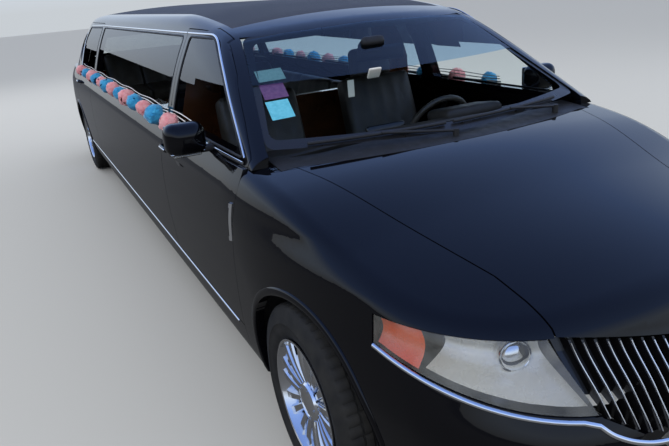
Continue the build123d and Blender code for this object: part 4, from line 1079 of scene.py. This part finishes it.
# Glasses standing in the bar's wells
TUMBLER = [(0.0, 0.004), (0.028, 0.004), (0.036, 0.095), (0.0335, 0.095), (0.026, 0.01), (0.0, 0.01)]
BAR_X = -0.585
GLASS_FOOT = 0.756
glasses = []
for well in (3.45, 4.25, 4.85):
    for k in range(3):
        at = (BAR_X + 0.07 * (k - 1), sy(well + 0.08 + 0.08 * k), GLASS_FOOT)
        glasses.append(turned(TUMBLER, at, (0, 0, 1), 20))
add_piece("bar_glasses", LENS, "root", *glasses)

# Dash vents, steering wheel's rim and boss
vents = []
for x in (-0.62, -0.2, 0.2, 0.62):
    for k in range(5):
        at = (x, sy(1.878), 0.995 + 0.012 * k)
        vents.append(block((0.09, 0.006, 0.004), 0.0015, 2, at, (-14, 0, 0)))
add_piece("dash_vents", CHROME, "root", *vents)

WHEEL_AT = Vector((0.39, sy(1.99), 1.01))
WHEEL_AXIS = Vector((0.0, 0.90631, 0.42262))
GRIP = 0.0155
grip_profile = [(0.18 + GRIP * cos(a), GRIP * sin(a)) for a in np.linspace(0, 2 * pi, 15)]
boss_profile = [(0.0, 0.034), (0.04, 0.032), (0.06, 0.02), (0.062, -0.024), (0.0, -0.028)]
side_axis = Vector((1, 0, 0))
up_axis = WHEEL_AXIS.cross(side_axis)
arms = []
for turn in (0.0, pi, 1.5 * pi):
    direction = side_axis * cos(turn) + up_axis * sin(turn)
    path = [tuple(WHEEL_AT + direction * r) for r in np.linspace(0.05, 0.172, 6)]
    arms.append(bar(path, tuple(WHEEL_AXIS), oval(0.018, 0.007)))
grip = turned(grip_profile, WHEEL_AT, WHEEL_AXIS, 64)
add_piece("wheel_rim", LEATHER, "steering_wheel", grip, replaces=["steering_wheel"])
boss = turned(boss_profile, WHEEL_AT, WHEEL_AXIS, 40)
add_piece("wheel_hub", GLOSS_PLASTIC, "steering_wheel", boss, *arms)

# Garland of tulle balls and ribbons along each sill, parted where the doors open
BALL_RADIUS = 0.056
BALL_HEIGHT = 1.158
BALL_STEP = 0.285
PETALS = 15
PETAL_CUTS = 6
RIBBON_LINES = ((1.176, 0.01), (1.196, 0.006), (1.214, 0.005))
GARLAND_SPANS = (("front_door", 2.06, 2.68), ("root", 2.73, 5.72), ("rear_door", 5.78, 6.62))


def tulle_ball(centre, radius, seed):
    """A ball of crumpled petals."""
    rng = np.random.default_rng(seed)
    parts = []
    for _ in range(PETALS):
        direction = unit(rng.normal(size=3))
        side = unit(np.cross(direction, rng.normal(size=3)))
        other = np.cross(direction, side)
        petal = []
        for u in np.linspace(-1, 1, PETAL_CUTS):
            for v in np.linspace(-1, 1, PETAL_CUTS):
                crumple = 0.1 * sin(5 * u + rng.uniform(0, 1)) * cos(4 * v)
                reach = radius * (0.95 - 0.35 * (u * u + v * v) + crumple)
                petal.append(centre + direction * reach + (side * u + other * v) * radius * 0.62)
        parts.append((petal, lattice(PETAL_CUTS, PETAL_CUTS)))
    return parts


for side, way in SIDES:
    number = 0
    for body, first, last in GARLAND_SPANS:
        rides = rider(body, side)
        count = int((last - first) / BALL_STEP)
        gap = (last - first) / count
        balls = [[], []]
        for i in range(count):
            spot, ups = on_side([(first + gap * (i + 0.5), BALL_HEIGHT)], way, "glass")
            centre = spot[0] + ups[0] * (BALL_RADIUS * 0.72)
            radius = BALL_RADIUS * (0.94 + 0.1 * ((number * 7) % 3))
            balls[number % 2] += tulle_ball(centre, radius, number * 11 + way + 1)
            number += 1
        for look, label, parts in ((BLUE_TULLE, "blue", balls[0]), (PINK_TULLE, "pink", balls[1])):
            if parts:
                add_piece(f"garland_{label}_{body}_{side}", look, rides, *parts)
        ribbons = []
        for height, width in RIBBON_LINES:
            line = soften([(first, height), (last, height)], step=0.05)
            line[:, 1] += 0.004 * np.sin(line[:, 0] * 9 + height * 50)
            section = half_round(width, 0.0012, 0.0006, 3)
            ribbons.append(bar(*on_side(line, way, "glass", -0.004), section))
        add_piece(f"garland_ribbon_{body}_{side}", RIBBON, rides, *ribbons)

# Rear: blank plate with its frame, bright lines, reflectors, exhaust tip
PLATE_HEIGHT = 0.76
PLATE_AT = Vector(on_end([(0.0, PLATE_HEIGHT)], "body", 0, True)[0][0]) + Vector((0, 0.008, 0))
add_piece("plate_blank", PLATE, "liftgate", block((0.305, 0.003, 0.152), 0.0014, 4, PLATE_AT))
frame_path = soften([(-0.158, -0.082), (0.158, -0.082), (0.158, 0.082), (-0.158, 0.082)], 0.012, 0.02, True)
frame_path = np.insert(frame_path, 1, PLATE_AT.y, axis=1) + (0, 0, PLATE_HEIGHT)
plate_frame = bar(frame_path, (0, 1, 0), half_round(0.012, 0.006, 0.012), True)
add_piece("plate_frame", CHROME, "liftgate", plate_frame)
for name, height, section in (
    ("gate_bright", 0.868, half_round(0.022, 0.01)),
    ("gate_lower_line", 0.668, half_round(0.01, 0.004)),
):
    add_piece(name, CHROME, "liftgate", end_bar([(-0.62, height), (0.62, height)], section, rear=True))
for side, way in SIDES:
    ends = [(way * 0.5, 0.5), (way * 0.68, 0.505)]
    add_piece(f"rear_reflector_{side}", RED, "root", end_bar(ends, half_round(0.035, 0.006), 0, 0.02, True))
TIP = [(0.0335, -0.1), (0.037, -0.1), (0.038, 0.0), (0.036, 0.004), (0.0335, 0.0)]
add_piece("exhaust_tip", CHROME, "root", turned(TIP, (-0.25, sy(8.223), 0.29), (0, 1, 0), 40))

# Front: fog lamps and lower mesh
FOG_LENS = [(0.048 * sin(a), 0.01 * cos(a) - 0.004) for a in np.linspace(0, pi / 2, 8)]
FOG_RING = [(0.048, -0.006), (0.058, -0.004), (0.06, 0.004), (0.054, 0.008), (0.048, 0.004)]
for side, way in SIDES:
    spot, up = on_end([(way * 0.66, 0.375)], "body")
    add_piece(f"fog_ring_{side}", CHROME, "root", turned(FOG_RING, spot[0], up[0], 40))
    add_piece(f"fog_lens_{side}", LENS, "root", turned(FOG_LENS, spot[0], up[0], 40))
mesh_bars = []
for height in np.linspace(0.318, 0.424, 7):
    mesh_bars.append(end_bar([(-0.425, height), (0.425, height)], half_round(0.007, 0.005, 0.004), 0.03))
for x in np.linspace(-0.4, 0.4, 17):
    mesh_bars.append(end_bar([(x, 0.306), (x, 0.434)], half_round(0.006, 0.004, 0.004), 0.033, 0.02))
add_piece("intake_mesh", GLOSS_PLASTIC, "root", *mesh_bars)

# Underside: springs round the struts, drive shaft
SPRING_X = 0.626
SPRING_RADIUS = 0.046
turns = np.linspace(0, 5 * 2 * pi, 120)
for side, way in SIDES:
    across = way * SPRING_X + SPRING_RADIUS * np.cos(turns)
    along = sy(FRONT_AXLE) + SPRING_RADIUS * np.sin(turns)
    coil = np.stack([across, along, np.linspace(0.55, 0.77, len(turns))], axis=1)
    add_piece(f"front_spring_{side}", CHASSIS, "root", bar(coil, (0, 0, 1), oval(0.007, 0.007, 8)))
shaft = [(0.0, sy(1.2), 0.36), (0.0, sy(4.0), 0.345), (0.0, sy(REAR_AXLE - 0.12), 0.37)]
add_piece("drive_shaft", STEEL, "root", tube(shaft, 0.038, 16))


# Stage: floor, light, camera
def area_light(name, place, target, size, power, color=(1, 1, 1)):
    """A soft rectangular lamp, whose outline doesn't show in gloss."""
    data = bpy.data.lights.new(name, "AREA")
    data.shape = "RECTANGLE"
    data.size, data.size_y = size
    data.energy = power
    data.color = color
    lamp = bpy.data.objects.new(name, data)
    lamp.location = place
    lamp.rotation_euler = (Vector(target) - Vector(place)).to_track_quat("-Z", "Y").to_euler()
    lamp.visible_glossy = False
    bpy.context.scene.collection.objects.link(lamp)


def make_floor():
    """A floor that is pale to the camera, and as dark as a road where the bodywork mirrors it."""
    bpy.ops.mesh.primitive_plane_add(size=120, location=(0, 0, 0))
    floor = bpy.context.active_object
    floor.name = "floor"
    ground = material("floor", (0.62, 0.62, 0.61), rough=0.85, spec=0.1)
    floor.data.materials.append(ground)
    tree = ground.node_tree
    shade = shader(tree, "Mix")
    shade.data_type = "RGBA"
    dark, pale = 6, 7
    shade.inputs[dark].default_value = (0.17, 0.17, 0.17, 1)
    shade.inputs[pale].default_value = (0.62, 0.62, 0.61, 1)
    wire(tree, (shader(tree, "LightPath"), "Is Camera Ray", shade, 0))
    wire(tree, (shade, 2, tree.nodes["Principled BSDF"], "Base Color"))


SKY = (
    (0.0, (0.46, 0.49, 0.52)),
    (0.16, (0.66, 0.78, 0.96)),
    (0.5, (0.27, 0.43, 0.88)),
    (1.0, (0.14, 0.24, 0.58)),
)


def make_sky():
    """The camera, gloss and glass see the sky's shades; the light on the object is plain and pale."""
    world = bpy.data.worlds.new("studio")
    bpy.context.scene.world = world
    world.use_nodes = True
    tree = world.node_tree
    ramp = shader(tree, "ValToRGB")
    stops = ramp.color_ramp.elements
    for place, _ in SKY[1:-1]:
        stops.new(place)
    for stop, (_, color) in zip(stops, SKY):
        stop.color = (*color, 1)
    split = shader(tree, "SeparateXYZ")
    wire(tree, (shader(tree, "TexCoord"), "Generated", split, 0), (split, "Z", ramp, "Fac"))
    rays = shader(tree, "LightPath")
    seen = rays
    out = "Is Camera Ray"
    for kind in ("Is Glossy Ray", "Is Transmission Ray"):
        either = shader(tree, "Math")
        either.operation = "MAXIMUM"
        wire(tree, (seen, out, either, 0), (rays, kind, either, 1))
        seen, out = either, 0
    plain = tree.nodes["Background"]
    plain.inputs["Color"].default_value = (0.9, 0.94, 1.0, 1)
    plain.inputs["Strength"].default_value = 0.75
    shades = shader(tree, "Background", Strength=1.25)
    mix = shader(tree, "MixShader")
    wire(tree, (ramp, "Color", shades, "Color"), (seen, 0, mix, 0))
    wire(tree, (plain, 0, mix, 1), (shades, 0, mix, 2))
    wire(tree, (mix, 0, tree.nodes["World Output"], "Surface"))


# The photograph's viewpoint, from its fitted camera
EYE = (-1.608, -5.03, 1.765)
YAW, PITCH, ROLL = radians(25.02), radians(19.99), radians(5.04)
FOCAL_PIXELS = 648.1
WIDTH_PIXELS = 669
SENSOR = 36


def make_camera():
    forward = Vector((sin(YAW) * cos(PITCH), cos(YAW) * cos(PITCH), -sin(PITCH)))
    right = Vector((cos(YAW), -sin(YAW), 0))
    down = forward.cross(right)
    across = cos(ROLL) * right + sin(ROLL) * down
    up = sin(ROLL) * right - cos(ROLL) * down
    data = bpy.data.cameras.new("camera")
    data.sensor_width = SENSOR
    data.lens = FOCAL_PIXELS / WIDTH_PIXELS * SENSOR
    data.clip_start = 0.05
    camera = bpy.data.objects.new("camera", data)
    camera.matrix_world = Matrix.Translation(EYE) @ Matrix((across, up, -forward)).transposed().to_4x4()
    bpy.context.scene.collection.objects.link(camera)
    bpy.context.scene.camera = camera


make_floor()
area_light("key", (-8, -8, 9), (0, -1, 0.8), (7, 5), 420, (1.0, 0.98, 0.95))
area_light("fill", (9, -3, 7), (0, 0, 0.8), (6, 8), 200, (0.94, 0.97, 1.0))
area_light("rear", (-3, 11, 7), (0, 3, 0.8), (7, 5), 200)
make_sky()
make_camera()
bpy.context.scene.view_settings.view_transform = "Standard"
